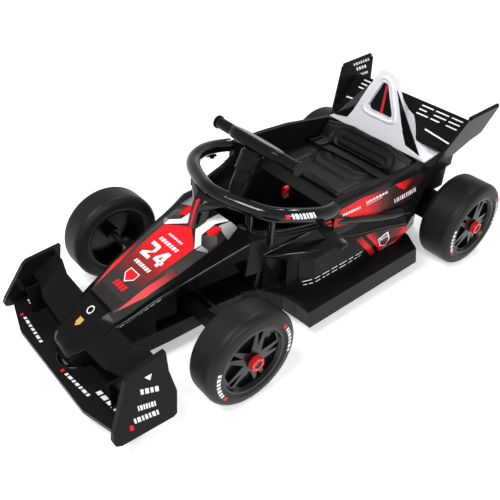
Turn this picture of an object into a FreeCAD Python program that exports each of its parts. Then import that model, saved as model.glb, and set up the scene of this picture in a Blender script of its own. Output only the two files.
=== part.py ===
"""A child's ride-on toy car in the shape of an open wheel racing car, in millimetres.

Frame: +X forward, +Y to the left, +Z up. The origin is on the floor under the middle of the car.
Outlines of the body are tables of shares: x of half_length, y of half_width, z of height.
"""

import FreeCAD, Part
import math
import os
from FreeCAD import Placement, Rotation, Vector

doc = FreeCAD.newDocument("RideOnRacer")

# Driving dimensions, in millimetres and degrees
SIZES = {
    # overall
    "half_length": 635,
    "half_width": 264,
    "height": 494,
    # wheels
    "tyre_radius": 124,
    "front_tyre_width": 86,
    "rear_tyre_width": 106,
    "rim_radius": 86,
    "tyre_shoulder": 20,
    "sidewall_bulge": 4,
    "rim_lip": 4,
    "rim_dish": 8,
    "rim_disc": 22,
    "barrel_wall": 5,
    "pocket_depth": 10,
    "pocket_outer_radius": 77,
    "pocket_inner_radius": 27,
    "slit_inner_radius": 36,
    "rim_hub_radius": 19,
    "axle_radius": 6,
    "running_gap": 0.1,
    "nut_outer_radius": 17,
    "nut_inner_radius": 10,
    "nut_length": 13,
    "nut_notch": 5,
    "cap_length": 9,
    # front axle and steering gear
    "kingpin_radius": 6,
    "knuckle_barrel_radius": 11,
    "knuckle_height": 28,
    "pedestal_height": 17.7,
    "steering_arm": 50,
    "arm_width": 13,
    "arm_tip_radius": 6,
    "stub_shoulder_radius": 9,
    "arm_thickness": 6,
    "beam_width": 24,
    "clevis_plate": 6,
    "joint_gap": 0.3,
    "tie_rod_radius": 4,
    "tie_pin_radius": 3,
    "crank_radius": 36,
    "crank_width": 16,
    "crank_thickness": 8,
    "crank_pin_length": 23,
    "slot_plate_width": 34,
    "slot_plate_thickness": 4,
    "slot_length": 16,
    "slot_clearance": 0.6,
    "channel_gap": 12,
    "channel_reach": 34,
    "channel_headroom": 11.7,
    # steering column and handlebar
    "column_lean_deg": 26.5,
    "column_radius": 8,
    "column_bore_gap": 0.5,
    "crank_height": 25,
    "housing_foot_radius": 26,
    "housing_top_radius": 19,
    "housing_length": 230,
    "collar_radius": 25,
    "collar_length": 34,
    "collar_gap": 1,
    "yoke_half_span": 147,
    "yoke_hub_width": 50,
    "yoke_hub_half_span": 44,
    "yoke_bar_depth": 30,
    "grip_radius": 14,
    "grip_length": 60,
    "grip_flange_radius": 17,
    "grip_flange_length": 4,
    "yoke_corner_radius": 12,
    # lower tub and the room for the axle
    "tub_wall": 4,
    # cockpit
    "platform_thickness": 4,
    "cowl_bead_radius": 7,
    "post_radius": 8,
    "halo_tube_radius": 18,
    "mirror_stem_radius": 7,
    # seat, belt, switch and pedal
    "cushion_thickness": 12,
    "belt_thickness": 2.5,
    "buckle_thickness": 9,
    "knob_radius": 8,
    "knob_length": 15,
    "key_radius": 5,
    "key_length": 17,
    "pedal_width": 48,
    # skirts and wings
    "wing_thickness": 11,
    "wing_notch_radius": 42,
    "flap_fin_length": 34,
    "flap_fin_thickness": 5,
    "flap_pin_radius": 5,
    "front_plate_thickness": 12,
    "front_plate_lean_deg": 14.5,
    "rear_plate_thickness": 7,
    "rear_plate_splay_deg": 14.5,
    "rear_lip_radius": 6,
    # tail and roll hoop
    "deck_thickness": 4,
    "arch_gap": 18,
    "arch_recess": 24,
    "tail_gap": 18,
    "gear_room_headroom": 20,
    "gearbox_gap": 8,
    "hoop_frame_depth": 16,
    "hoop_lean_deg": 5,
    "mesh_thickness": 5,
    "hoop_panel_thickness": 3,
    # rear axle
    "gearbox_width": 66,
    "gearbox_half_height": 34,
    "gearbox_reach": 82,
    "gearbox_boss_radius": 28,
}

sheet = doc.addObject("Spreadsheet::Sheet", "Sizes")
for row, (alias, value) in enumerate(SIZES.items(), start=1):
    sheet.set(f"A{row}", alias)
    sheet.set(f"B{row}", str(value))
    sheet.setAlias(f"B{row}", alias)
doc.recompute()


class FromSheet:
    """Reads a driving dimension by its alias, as in size.tyre_radius."""

    def __getattr__(self, alias):
        return float(sheet.get(alias))


size = FromSheet()
pieces = []


def keep(piece, label):
    """Names a finished piece and puts it on the list of what is written out."""
    piece.Label = label
    pieces.append(piece)
    return piece


# Ways of making shapes; points nearer than this are one point
SAME_PLACE = 1e-6


def rounded(points):
    """Lines and arcs round a closed outline of (u, v) or (u, v, corner radius) points."""
    ends = []
    for i, point in enumerate(points):
        here = Vector(point[0], point[1], 0)
        radius = point[2] if len(point) > 2 else 0
        before = Vector(*points[i - 1][:2], 0) - here
        after = Vector(*points[(i + 1) % len(points)][:2], 0) - here
        before.normalize()
        after.normalize()
        half = before.getAngle(after) / 2
        if radius <= 0 or half > math.radians(89):
            ends.append((here, here, here))
            continue
        reach = radius / math.tan(half)
        middle = (before + after).normalize()
        bulge = here + middle * (radius / math.sin(half) - radius)
        ends.append((here + before * reach, bulge, here + after * reach))
    edges = []
    for i, (start, bulge, end) in enumerate(ends):
        if not start.isEqual(end, SAME_PLACE):
            edges.append(Part.Arc(start, bulge, end))
        following = ends[(i + 1) % len(ends)][0]
        if not end.isEqual(following, SAME_PLACE):
            edges.append(Part.LineSegment(end, following))
    return edges


def sketch_in(body, name, plane, outline, offset=0):
    """A sketch on one of the body's origin planes, offset along that plane's normal."""
    sketch = body.newObject("Sketcher::SketchObject", name)
    support = [f for f in body.Origin.OriginFeatures if f.Role == plane + "_Plane"][0]
    sketch.AttachmentSupport = [(support, "")]
    sketch.MapMode = "FlatFace"
    sketch.AttachmentOffset = Placement(Vector(0, 0, offset), Rotation())
    for edge in rounded(outline):
        sketch.addGeometry(edge, False)
    return sketch


def padded(name, plane, outline, start, length):
    """A body with one pad, grown from start along +X, +Y or +Z, square to the plane.

    The length is a size's alias, or a length worked out from the sizes.
    """
    body = doc.addObject("PartDesign::Body", name)
    against = plane == "XZ"
    sketch = sketch_in(body, name + "_outline", plane, outline, -start if against else start)
    pad = body.newObject("PartDesign::Pad", name + "_pad")
    pad.Profile = sketch
    pad.Reversed = against
    if isinstance(length, str):
        pad.setExpression("Length", "Sizes." + length)
    else:
        pad.Length = length
    doc.recompute()
    return body


def turned(name, profile):
    """A body turned about the Y axis from a closed profile of (y, radius) points."""
    body = doc.addObject("PartDesign::Body", name)
    sketch = sketch_in(body, name + "_profile", "YZ", profile)
    turn = body.newObject("PartDesign::Revolution", name + "_turn")
    turn.Profile = sketch
    turn.ReferenceAxis = (sketch, ["H_Axis"])
    doc.recompute()
    return body


def loft(name, sections, ruled=False):
    """A solid loft through closed sections, each a list of 3-D points."""
    profiles = []
    for number, points in enumerate(sections, start=1):
        profile = doc.addObject("Part::Feature", f"{name}_section_{number}")
        vectors = [Vector(*p) for p in points]
        profile.Shape = Part.makePolygon(vectors + vectors[:1])
        profiles.append(profile)
    solid = doc.addObject("Part::Loft", name)
    solid.Sections = profiles
    solid.Solid = True
    solid.Ruled = ruled
    doc.recompute()
    return solid


def soft_loft(name, sections):
    """A smooth solid through upright outlines, each given as (y, (x, z, corner radius) points)."""
    profiles = []
    for number, (y, outline) in enumerate(sections, start=1):
        profile = doc.addObject("Part::Feature", f"{name}_section_{number}")
        profile.Shape = Part.Wire([edge.toShape() for edge in rounded(outline)])
        profile.Placement = Placement(Vector(0, y, 0), Rotation(Vector(1, 0, 0), 90))
        profiles.append(profile)
    solid = doc.addObject("Part::Loft", name)
    solid.Sections = profiles
    solid.Solid = True
    doc.recompute()
    return solid


def cut(name, base, *tools):
    """The base less each tool in turn."""
    for number, tool in enumerate(tools, start=1):
        result = doc.addObject("Part::Cut", name if number == len(tools) else f"{name}_{number}")
        result.Base = base
        result.Tool = tool
        base = result
    doc.recompute()
    return base


def fuse(name, *shapes):
    result = doc.addObject("Part::MultiFuse", name)
    result.Shapes = list(shapes)
    result.Refine = True
    doc.recompute()
    return result


def common(name, base, tool):
    result = doc.addObject("Part::Common", name)
    result.Base = base
    result.Tool = tool
    doc.recompute()
    return result


def mirrored(name, source):
    """The source reflected to the other side of the car."""
    result = doc.addObject("Part::Mirroring", name)
    result.Source = source
    result.Normal = Vector(0, 1, 0)
    doc.recompute()
    return result


def box(name, low, high):
    """A box between two corners."""
    solid = doc.addObject("Part::Box", name)
    solid.Length, solid.Width, solid.Height = (h - l for l, h in zip(low, high))
    solid.Placement.Base = Vector(*low)
    doc.recompute()
    return solid


def rod(name, start, end, radius):
    """A round bar between two points. The radius is a size's alias or a length."""
    start, end = Vector(*start), Vector(*end)
    bar = doc.addObject("Part::Cylinder", name)
    if isinstance(radius, str):
        bar.setExpression("Radius", "Sizes." + radius)
    else:
        bar.Radius = radius
    bar.Height = start.distanceToPoint(end)
    bar.Placement = Placement(start, Rotation(Vector(0, 0, 1), end - start))
    doc.recompute()
    return bar


def bent_rod(name, points, radius):
    """A round bar along a smooth curve through points."""
    curve = Part.BSplineCurve()
    curve.interpolate([Vector(*p) for p in points])
    start = Part.Circle(Vector(*points[0]), curve.tangent(curve.FirstParameter)[0], radius)
    bar = doc.addObject("Part::Feature", name)
    path = Part.Wire([curve.toShape()])
    bar.Shape = path.makePipeShell([Part.Wire([start.toShape()])], True, False)
    return bar


def placed(name, source, placement):
    """A copy of a finished shape, moved to its place."""
    copy = doc.addObject("Part::Feature", name)
    copy.Shape = source.Shape
    copy.Placement = placement
    return copy


# Reading tables of shares
def at(x_share, y_share, z_share):
    """A place on the car."""
    return (x_share * size.half_length, y_share * size.half_width, z_share * size.height)


def seen(shares, across, up):
    """An outline's points, with a corner radius kept as a share of the second size."""
    return [
        (p[0] * across, p[1] * up) + tuple(radius * up for radius in p[2:]) for p in shares
    ]


def plan(shares):
    return seen(shares, size.half_length, size.half_width)


def side_view(shares):
    return seen(shares, size.half_length, size.height)


def front_view(shares):
    return seen(shares, size.half_width, size.height)


def symmetric(points):
    """An outline from above, closed with its mirror image in the car's middle plane."""
    return points + [(p[0], -p[1]) + tuple(p[2:]) for p in reversed(points)]


def upright(points):
    """An outline from the front, closed with its mirror image in the car's middle plane."""
    return points + [(-p[0],) + tuple(p[1:]) for p in reversed(points)]


def hull(name, share_sections, ruled=False):
    """A loft through half sections, each closed with its mirror image."""
    sections = []
    for half in share_sections:
        left = [at(*p) for p in half]
        sections.append(left + [(x, -y, z) for x, y, z in reversed(left)])
    return loft(name, sections, ruled)


def leaning(points, foot_y, foot_z, slope, thickness):
    """Inner and outer outlines of a plate that moves out by slope for each unit of height."""
    return [
        [(x, foot_y + (z - foot_z) * slope + out, z) for x, z in points] for out in (0, thickness)
    ]



# Named places along, above and across the car, as shares of its overall sizes
STATION_SHARES = {
    "front_axle": 0.4787,
    "rear_axle": -0.7969,
    "column_top": 0.0724,
    "toe_space": 0.365,
    "wing_notch": 0.896,
    "hoop": -0.641,
    "battery_front": -0.189,
    "battery_rear": -0.472,
}
LEVEL_SHARES = {
    "floor": 0.0911,
    "skirt_top": 0.196,
    "wing": 0.0972,
    "toe_roof": 0.4696,
    "platform": 0.4858,
    "deck": 0.599,
    "column_top": 0.834,
}
SPAN_SHARES = {
    "wheel_face": 1.2197,
    "kingpin": 0.7765,
    "toe_space": 0.318,
    "front_plate_foot": 0.981,
    "platform": 0.625,
    "seat_block": 0.519,
    "back_cushion": 0.606,
    "pedal_outer": 0.27,
    "battery": 0.284,
}


class Places:
    """Places read by name, as in level.deck, each a share of one overall size."""

    def __init__(self, whole, shares):
        for name, share in shares.items():
            setattr(self, name, share * whole)


station = Places(size.half_length, STATION_SHARES)
level = Places(size.height, LEVEL_SHARES)
span = Places(size.half_width, SPAN_SHARES)
rear_axle_x = station.rear_axle
axle_z = size.tyre_radius
beyond = size.half_length * 2


# Wheels
def tyre(name, width):
    """A slick tyre with round shoulders. Its outer face is at y = 0 and it grows towards -y."""
    shoulder, bulge = size.tyre_shoulder, size.sidewall_bulge
    middle = (size.rim_radius + size.tyre_radius - shoulder) / 2
    profile = [
        (-bulge, size.rim_radius),
        (0, middle, bulge),
        (-bulge, size.tyre_radius, shoulder),
        (bulge - width, size.tyre_radius, shoulder),
        (-width, middle, bulge),
        (bulge - width, size.rim_radius),
    ]
    return turned(name, profile)


SPOKE_PAIRS = 5
POCKET_HALF_ANGLE_SHARE = 0.34
SLIT_HALF_ANGLE_SHARE = 0.085


def polar(radius, angle):
    """A point of the wheel face, for a sketch on the XZ plane."""
    return (radius * math.cos(angle), radius * math.sin(angle))


def rim(name, width):
    """A dished wheel with pairs of spokes, blind pockets between them and a barrel behind."""
    face = -size.sidewall_bulge
    back = size.sidewall_bulge - width
    bore = size.axle_radius + size.running_gap
    hub = size.rim_hub_radius
    dish = face - size.rim_dish
    cap = face + size.nut_length - size.rim_lip
    profile = [
        (face, size.rim_radius),
        (face, size.rim_radius - size.rim_lip),
        (dish, size.pocket_outer_radius),
        (face - size.rim_lip, hub),
        (face, hub),
        (face, size.nut_inner_radius),
        (cap, size.nut_inner_radius),
        (cap, bore),
        (back + size.rim_disc, bore),
        (back + size.rim_disc, hub),
        (dish - size.rim_disc, hub),
        (dish - size.rim_disc, size.rim_radius - size.barrel_wall),
        (back, size.rim_radius - size.barrel_wall),
        (back, size.rim_radius),
    ]
    body = turned(name, profile)
    step = 2 * math.pi / SPOKE_PAIRS
    inner_edge = size.pocket_outer_radius - size.rim_lip
    kinds = (
        ("pocket", size.pocket_inner_radius, POCKET_HALF_ANGLE_SHARE * step, 0),
        ("slit", size.slit_inner_radius, SLIT_HALF_ANGLE_SHARE * step, step / 2),
    )
    for kind, inner, spread, turn in kinds:
        outline = [
            polar(inner, turn),
            polar(inner_edge, turn + spread) + (size.rim_lip,),
            polar(size.pocket_outer_radius, turn),
            polar(inner_edge, turn - spread) + (size.rim_lip,),
        ]
        sketch = sketch_in(body, f"{name}_{kind}_outline", "XZ", outline, -face)
        pocket = body.newObject("PartDesign::Pocket", f"{name}_{kind}")
        pocket.Profile = sketch
        pocket.setExpression("Length", "Sizes.rim_dish + Sizes.pocket_depth")
        pocket.Reversed = True
        doc.recompute()
        pattern = body.newObject("PartDesign::PolarPattern", f"{name}_{kind}_ring")
        pattern.Originals = [pocket]
        pattern.Axis = ([f for f in body.Origin.OriginFeatures if f.Role == "Y_Axis"][0], [""])
        pattern.Angle = 360
        pattern.Occurrences = SPOKE_PAIRS
        body.Tip = pattern
        doc.recompute()
    return body


NUT_NOTCHES = 6


def hub_nut(name):
    """A castellated ring round the hub's black cap, its inner face at y = 0."""
    outer, length, notch = size.nut_outer_radius, size.nut_length, size.nut_notch
    ring = turned(name + "_ring", [
        (0, size.nut_inner_radius), (0, outer), (length, outer), (length, size.nut_inner_radius),
    ])
    cuts = []
    for number in range(NUT_NOTCHES):
        tooth_gap = box(f"{name}_notch_{number}", (outer - notch / 2, length / 2, -notch / 2),
                        (outer * 2, length * 2, notch / 2))
        turn = Placement(Vector(), Rotation(Vector(0, 1, 0), 360 * number / NUT_NOTCHES))
        tooth_gap.Placement = turn.multiply(tooth_gap.Placement)
        cuts.append(tooth_gap)
    return cut(name, ring, *cuts)


masters = {
    "front": (tyre("front_tyre", size.front_tyre_width), rim("front_rim", size.front_tyre_width)),
    "rear": (tyre("rear_tyre", size.rear_tyre_width), rim("rear_rim", size.rear_tyre_width)),
}
nut = hub_nut("nut")
for end, axle_x in (("front", station.front_axle), ("rear", rear_axle_x)):
    for side, sign in (("left", 1), ("right", -1)):
        turn = Rotation(Vector(0, 0, 1), 0 if sign > 0 else 180)
        face = Placement(Vector(axle_x, sign * span.wheel_face, axle_z), turn)
        seat = Placement(Vector(axle_x, sign * (span.wheel_face - size.sidewall_bulge), axle_z),
                         turn)
        tyre_master, rim_master = masters[end]
        for master, kind, stand in ((tyre_master, "tyre", face), (rim_master, "rim", face),
                                    (nut, "hub_nut", seat)):
            name = f"{kind}_{end}_{side}"
            keep(placed(name, master, stand), name)

# Front axle: a beam with an eye above and below each kingpin
half_barrel = size.knuckle_height / 2
eye_low = axle_z - half_barrel - size.joint_gap - size.clevis_plate
eye_high = axle_z + half_barrel + size.joint_gap
seam_z = axle_z - half_barrel - size.pedestal_height
channel_roof_z = eye_high + size.clevis_plate + size.channel_headroom
beam_end_y = span.kingpin - size.knuckle_barrel_radius - size.beam_width / 2 + size.joint_gap
clevis_reach_y = span.kingpin + size.beam_width / 2


def eye(name, sign, z):
    """One of the two flat eyes that hold a kingpin."""
    half = size.beam_width / 2
    x = station.front_axle
    outline = [
        (x - half, sign * (beam_end_y - size.beam_width)),
        (x + half, sign * (beam_end_y - size.beam_width)),
        (x + half, sign * clevis_reach_y, half - size.running_gap),
        (x - half, sign * clevis_reach_y, half - size.running_gap),
    ]
    plate = padded(name, "XY", outline, z, "clevis_plate")
    hole = rod(name + "_hole", (x, sign * span.kingpin, 0), (x, sign * span.kingpin, beyond),
               size.kingpin_radius + size.running_gap)
    return cut(name + "_bored", plate, hole)


beam = box(
    "beam",
    (station.front_axle - size.beam_width / 2, -beam_end_y, eye_low + size.clevis_plate),
    (station.front_axle + size.beam_width / 2, beam_end_y, eye_high),
)
pedestal = box(
    "pedestal",
    (station.front_axle - size.beam_width / 2, -span.toe_space, seam_z),
    (station.front_axle + size.beam_width / 2, span.toe_space, eye_low + size.clevis_plate),
)
eyes = [eye(f"eye_{side}_{level}", sign, z)
        for side, sign in (("left", 1), ("right", -1))
        for level, z in (("low", eye_low), ("high", eye_high))]
keep(fuse("front_axle_beam", beam, pedestal, *eyes), "front_axle_beam")

# Left knuckle: kingpin, barrel, stub axle and steering arm
arm_z = axle_z - half_barrel
tie_x = station.front_axle - size.steering_arm
hub_back_y = span.wheel_face - size.front_tyre_width + size.rim_disc + size.sidewall_bulge


def knuckle(name):
    x, y = station.front_axle, span.kingpin
    half, tip = size.arm_width / 2, size.arm_tip_radius
    pin = rod(name + "_pin", (x, y, eye_low), (x, y, eye_high + size.clevis_plate),
              "kingpin_radius")
    barrel = rod(name + "_barrel", (x, y, arm_z), (x, y, axle_z + half_barrel),
                 "knuckle_barrel_radius")
    stub = rod(name + "_stub", (x, y, axle_z), (x, span.wheel_face + size.cap_length / 2, axle_z),
               "axle_radius")
    shoulder = rod(name + "_shoulder", (x, y, axle_z), (x, hub_back_y - size.joint_gap, axle_z),
                   "stub_shoulder_radius")
    arm = padded(name + "_arm", "XY",
                 [(x, y - half), (x, y + half), (tie_x - half, y + half, tip),
                  (tie_x - half, y - half, tip)], arm_z, "arm_thickness")
    bored = rod(name + "_eye", (tie_x, y, 0), (tie_x, y, beyond),
                size.tie_pin_radius + size.running_gap)
    return cut(name, fuse(name + "_body", pin, barrel, stub, shoulder, arm), bored)


left_knuckle = keep(knuckle("knuckle_left"), "knuckle_left")
keep(mirrored("knuckle_right", left_knuckle), "knuckle_right")

# Line of the steering column
lean = math.radians(size.column_lean_deg)
column_axis = Vector(-math.sin(lean), 0, math.cos(lean))
column_across = Vector(math.cos(lean), 0, math.sin(lean))


def on_column(z):
    """The point of the column's axis at height z."""
    return Vector(station.column_top + (level.column_top - z) * math.tan(lean), 0, z)


# Tie rod between the steering arms, with a slotted plate for the column's crank pin
tie_z = arm_z - size.joint_gap - size.tie_rod_radius
column_foot_z = arm_z + size.crank_height
crank_tip = on_column(column_foot_z) - column_across * size.crank_radius
slot_x = crank_tip.x + (crank_tip.z - tie_z) * math.tan(lean)


def tie_rod(name):
    y, reach = span.kingpin, size.tie_rod_radius
    bar = rod(name + "_bar", (tie_x, -y, tie_z), (tie_x, y, tie_z), "tie_rod_radius")
    pins = [rod(f"{name}_pin_{side}", (tie_x, sign * y, tie_z - reach),
                (tie_x, sign * y, arm_z + size.arm_thickness), "tie_pin_radius")
            for side, sign in (("left", 1), ("right", -1))]
    half, length = size.slot_plate_width / 2, size.slot_length
    tip = half / 2
    plate = padded(name + "_plate", "XY",
                   [(slot_x - length, -half, tip), (tie_x, -half), (tie_x, half),
                    (slot_x - length, half, tip)],
                   tie_z - size.slot_plate_thickness / 2, "slot_plate_thickness")
    room = size.tie_pin_radius + size.slot_clearance
    slot = box(name + "_slot", (slot_x - length / 2, -room, tie_z - 2 * reach),
               (slot_x + length / 2, room, tie_z + 2 * reach))
    return cut(name, fuse(name + "_body", bar, plate, *pins), slot)


keep(tie_rod("tie_rod"), "tie_rod")


# Steering column with its crank below and its collar above
def column(name):
    foot = on_column(column_foot_z)
    top = on_column(level.column_top)
    shaft = rod(name + "_shaft", foot, top, "column_radius")
    half = Vector(0, size.crank_width / 2, 0)
    end = crank_tip - column_across * size.tie_pin_radius * 2
    rise = column_axis * size.crank_thickness
    web = doc.addObject("Part::Feature", name + "_crank")
    corners = [foot - half, end - half, end + half, foot + half]
    web.Shape = Part.Face(Part.makePolygon(corners + corners[:1])).extrude(rise)
    pin = rod(name + "_crank_pin", crank_tip + rise / 2,
              crank_tip - column_axis * size.crank_pin_length, "tie_pin_radius")
    collar_top = top - column_axis * size.collar_gap
    collar = rod(name + "_collar", collar_top - column_axis * size.collar_length, collar_top,
                 "collar_radius")
    return fuse(name, shaft, web, pin, collar)


keep(column("steering_column"), "steering_column")


# Fixed boot round the column, standing on the floor over the axle
def boot(name, wider):
    """The tapered boot, or with wider above zero the room that it needs."""
    top = on_column(level.column_top) - column_axis * (size.collar_length + 2 * size.collar_gap)
    cone = doc.addObject("Part::Cone", name + "_cone")
    cone.setExpression("Height", "Sizes.housing_length")
    cone.Radius1 = size.housing_foot_radius + wider
    cone.Radius2 = size.housing_top_radius + wider
    cone.Placement = Placement(top - column_axis * size.housing_length,
                               Rotation(Vector(0, 0, 1), column_axis))
    floor = box(name + "_floor", (-beyond, -beyond, -beyond),
                (beyond, beyond, channel_roof_z + size.tub_wall))
    return cut(name + "_trimmed", cone, floor)


column_hole = rod("column_hole", on_column(0), on_column(size.height),
                  size.column_radius + size.column_bore_gap)
slot_half = size.column_radius + size.column_bore_gap
column_slot = box("column_slot", (0, -slot_half, channel_roof_z - size.joint_gap),
                  (on_column(channel_roof_z).x, slot_half,
                   channel_roof_z + size.tub_wall + size.joint_gap))
boot_room = boot("boot_room", size.joint_gap)
keep(cut("column_boot", boot("boot", 0), column_hole), "column_boot")


# Handlebar: a soft hub that narrows to a flanged round grip on each side
def handlebar(name):
    wide, deep, thin = size.yoke_hub_width / 2, size.yoke_bar_depth / 2, size.grip_radius
    near, far = size.yoke_hub_half_span, size.yoke_half_span
    neck = far - size.grip_length
    rows = [(neck, thin, thin), (near, wide, deep), (0, wide, deep)]
    rows += [(-y, across, up) for y, across, up in reversed(rows[:-1])]
    corner = size.yoke_corner_radius
    bar = soft_loft(name + "_bar", [
        (y, [(across, deep - up, corner), (across, deep + up, corner),
             (-across, deep + up, corner), (-across, deep - up, corner)])
        for y, across, up in rows
    ])
    grips = []
    for side, sign in (("left", 1), ("right", -1)):
        end = far - size.grip_flange_length
        grips.append(rod(f"{name}_grip_{side}", (0, sign * (neck - thin), deep),
                         (0, sign * end, deep), "grip_radius"))
        grips.append(rod(f"{name}_flange_{side}", (0, sign * end, deep),
                         (0, sign * far, deep), "grip_flange_radius"))
    stand = Placement(on_column(level.column_top),
                      Rotation(Vector(0, 1, 0), -size.column_lean_deg))
    return placed(name, fuse(name + "_level", bar, *grips), stand)


keep(handlebar("handlebar"), "handlebar")

# Rear axle with a motor gearbox inboard of each wheel
keep(rod("rear_axle", (rear_axle_x, -span.wheel_face - size.cap_length / 2, axle_z),
         (rear_axle_x, span.wheel_face + size.cap_length / 2, axle_z), "axle_radius"),
     "rear_axle")
rear_hub_back_y = span.wheel_face - size.rear_tyre_width + size.rim_disc + size.sidewall_bulge
tail_half_width = span.wheel_face - size.rear_tyre_width - size.tail_gap
gearbox_inner_y = tail_half_width - size.gearbox_width + size.arm_thickness
gear_room_y = gearbox_inner_y - size.gearbox_gap


def gearbox(name):
    half, reach = size.gearbox_half_height, size.gearbox_reach
    outer = gearbox_inner_y + size.gearbox_width
    outline = [
        (rear_axle_x - half, axle_z - half, half / 2),
        (rear_axle_x + half, axle_z - half, half / 2),
        (rear_axle_x + reach, axle_z, half / 3),
        (rear_axle_x + reach, axle_z + half, half / 3),
        (rear_axle_x - half, axle_z + half, half / 2),
    ]
    block = padded(name + "_block", "XZ", outline, gearbox_inner_y, "gearbox_width")
    boss = rod(name + "_boss", (rear_axle_x, outer, axle_z),
               (rear_axle_x, rear_hub_back_y - size.joint_gap, axle_z), "gearbox_boss_radius")
    bore = rod(name + "_bore", (rear_axle_x, 0, axle_z), (rear_axle_x, beyond, axle_z),
               "axle_radius")
    return cut(name, fuse(name + "_body", block, boss), bore)


left_gearbox = keep(gearbox("gearbox_left"), "gearbox_left")
keep(mirrored("gearbox_right", left_gearbox), "gearbox_right")

# Cutting tools that the body pieces share
below_seam = box("below_seam", (-beyond, -beyond, -beyond), (beyond, beyond, seam_z))
below_floor = box("below_floor", (-beyond, -beyond, -beyond), (beyond, beyond, level.floor))
below_pods = box("below_pods", (-beyond, -beyond, -beyond), (beyond, beyond, level.skirt_top))
channel = box("channel", (slot_x - size.slot_length - size.channel_gap, -beyond, -beyond),
              (station.front_axle + size.channel_reach, beyond, channel_roof_z))
toe_space = box("toe_space", (0, -span.toe_space, channel_roof_z + size.tub_wall),
                (station.toe_space, span.toe_space, level.toe_roof))

# Front body: hood over the front axle, and the keel under it
FRONT_BODY_SHARES = [
    [(0.78, 0.25, 0.061), (0.78, 0.273, 0.213), (0.78, 0.277, 0.298), (0.78, 0.277, 0.32),
     (0.78, 0.258, 0.332), (0.78, 0.159, 0.354)],
    [(0.726, 0.303, 0.061), (0.726, 0.303, 0.227), (0.726, 0.303, 0.324), (0.726, 0.307, 0.346),
     (0.726, 0.284, 0.358), (0.726, 0.178, 0.381)],
    [(0.636, 0.333, 0.061), (0.636, 0.326, 0.243), (0.636, 0.337, 0.37), (0.636, 0.341, 0.393),
     (0.636, 0.314, 0.405), (0.636, 0.193, 0.429)],
    [(0.543, 0.341, 0.061), (0.543, 0.348, 0.263), (0.543, 0.375, 0.411), (0.543, 0.379, 0.433),
     (0.543, 0.352, 0.445), (0.543, 0.212, 0.474)],
    [(0.441, 0.341, 0.061), (0.441, 0.379, 0.283), (0.441, 0.413, 0.449), (0.441, 0.417, 0.472),
     (0.441, 0.386, 0.486), (0.441, 0.231, 0.52)],
    [(0.346, 0.348, 0.061), (0.346, 0.409, 0.304), (0.346, 0.451, 0.486), (0.346, 0.455, 0.508),
     (0.346, 0.424, 0.522), (0.346, 0.25, 0.557)],
    [(0.257, 0.371, 0.061), (0.257, 0.447, 0.324), (0.257, 0.496, 0.52), (0.257, 0.5, 0.545),
     (0.257, 0.466, 0.555), (0.257, 0.295, 0.583)],
]
RECESS_SHARES = [
    (0.636, 0.32, 0.04), (0.543, 0.397, 0.101), (0.413, 0.453, 0.061), (0.261, 0.437, 0.02),
    (0.236, 0.34, 0.061), (0.263, 0.259, 0.04), (0.315, 0.162), (0.636, 0.162),
]
RECESS_FLOOR_SHARES = [(0.65, 0.258), (0.236, 0.364)]


def recess(name):
    """The dark recess beside the front wheel, its floor straight from front to rear."""
    (x_front, y_front), (x_rear, y_rear) = plan(RECESS_FLOOR_SHARES)
    slope = (y_rear - y_front) / (x_rear - x_front)
    body = doc.addObject("Part::Feature", name)
    edges = [edge.toShape() for edge in rounded(side_view(RECESS_SHARES))]
    outline = Part.Wire(Part.__sortEdges__(edges))
    outline.rotate(Vector(), Vector(1, 0, 0), 90)
    block = Part.Face(outline).extrude(Vector(0, beyond, 0))
    corners = [(x, y_front + (x - x_front) * slope) for x in (-beyond, beyond)]
    inside = [Vector(x, y, -beyond) for x, y in corners]
    inside += [Vector(beyond, -beyond, -beyond), Vector(-beyond, -beyond, -beyond)]
    body.Shape = block.cut(Part.Face(Part.makePolygon(inside + inside[:1])).extrude(
        Vector(0, 0, 2 * beyond)))
    return body


front_body = cut("front_body", hull("front_body_loft", FRONT_BODY_SHARES), below_floor)
left_recess = recess("recess_left")
right_recess = mirrored("recess_right", left_recess)
hood = keep(cut("hood", front_body, below_seam, channel, left_recess, right_recess, toe_space,
                column_hole, column_slot, boot_room), "hood")

# Cockpit surround: the cowl behind the hood, and the side walls with their rails
COWL_SHARES = [
    [(0.257, 0.371, 0.121), (0.257, 0.447, 0.324), (0.257, 0.5, 0.545), (0.257, 0.466, 0.555)],
    [(0.173, 0.424, 0.121), (0.173, 0.492, 0.344), (0.173, 0.542, 0.536), (0.173, 0.504, 0.549)],
    [(0.087, 0.53, 0.121), (0.087, 0.591, 0.364), (0.087, 0.617, 0.53), (0.087, 0.576, 0.543)],
    [(0.016, 0.591, 0.121), (0.016, 0.674, 0.385), (0.016, 0.686, 0.534), (0.016, 0.644, 0.547)],
    [(-0.063, 0.625, 0.121), (-0.063, 0.723, 0.385), (-0.063, 0.746, 0.543),
     (-0.063, 0.705, 0.555)],
]
CABIN_SHARES = [
    [(-0.063, 0.625, 0.121), (-0.063, 0.72, 0.304), (-0.063, 0.769, 0.486),
     (-0.063, 0.758, 0.648), (-0.063, 0.739, 0.662)],
    [(-0.249, 0.625, 0.121), (-0.249, 0.72, 0.304), (-0.249, 0.784, 0.486),
     (-0.249, 0.758, 0.64), (-0.249, 0.739, 0.654)],
    [(-0.383, 0.625, 0.121), (-0.383, 0.72, 0.304), (-0.383, 0.788, 0.482),
     (-0.383, 0.75, 0.632), (-0.383, 0.731, 0.646)],
    [(-0.515, 0.625, 0.121), (-0.515, 0.716, 0.304), (-0.515, 0.78, 0.466),
     (-0.515, 0.72, 0.613), (-0.515, 0.701, 0.628)],
    [(-0.638, 0.625, 0.121), (-0.638, 0.712, 0.304), (-0.638, 0.758, 0.449),
     (-0.638, 0.697, 0.597), (-0.638, 0.678, 0.611)],
]
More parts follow.
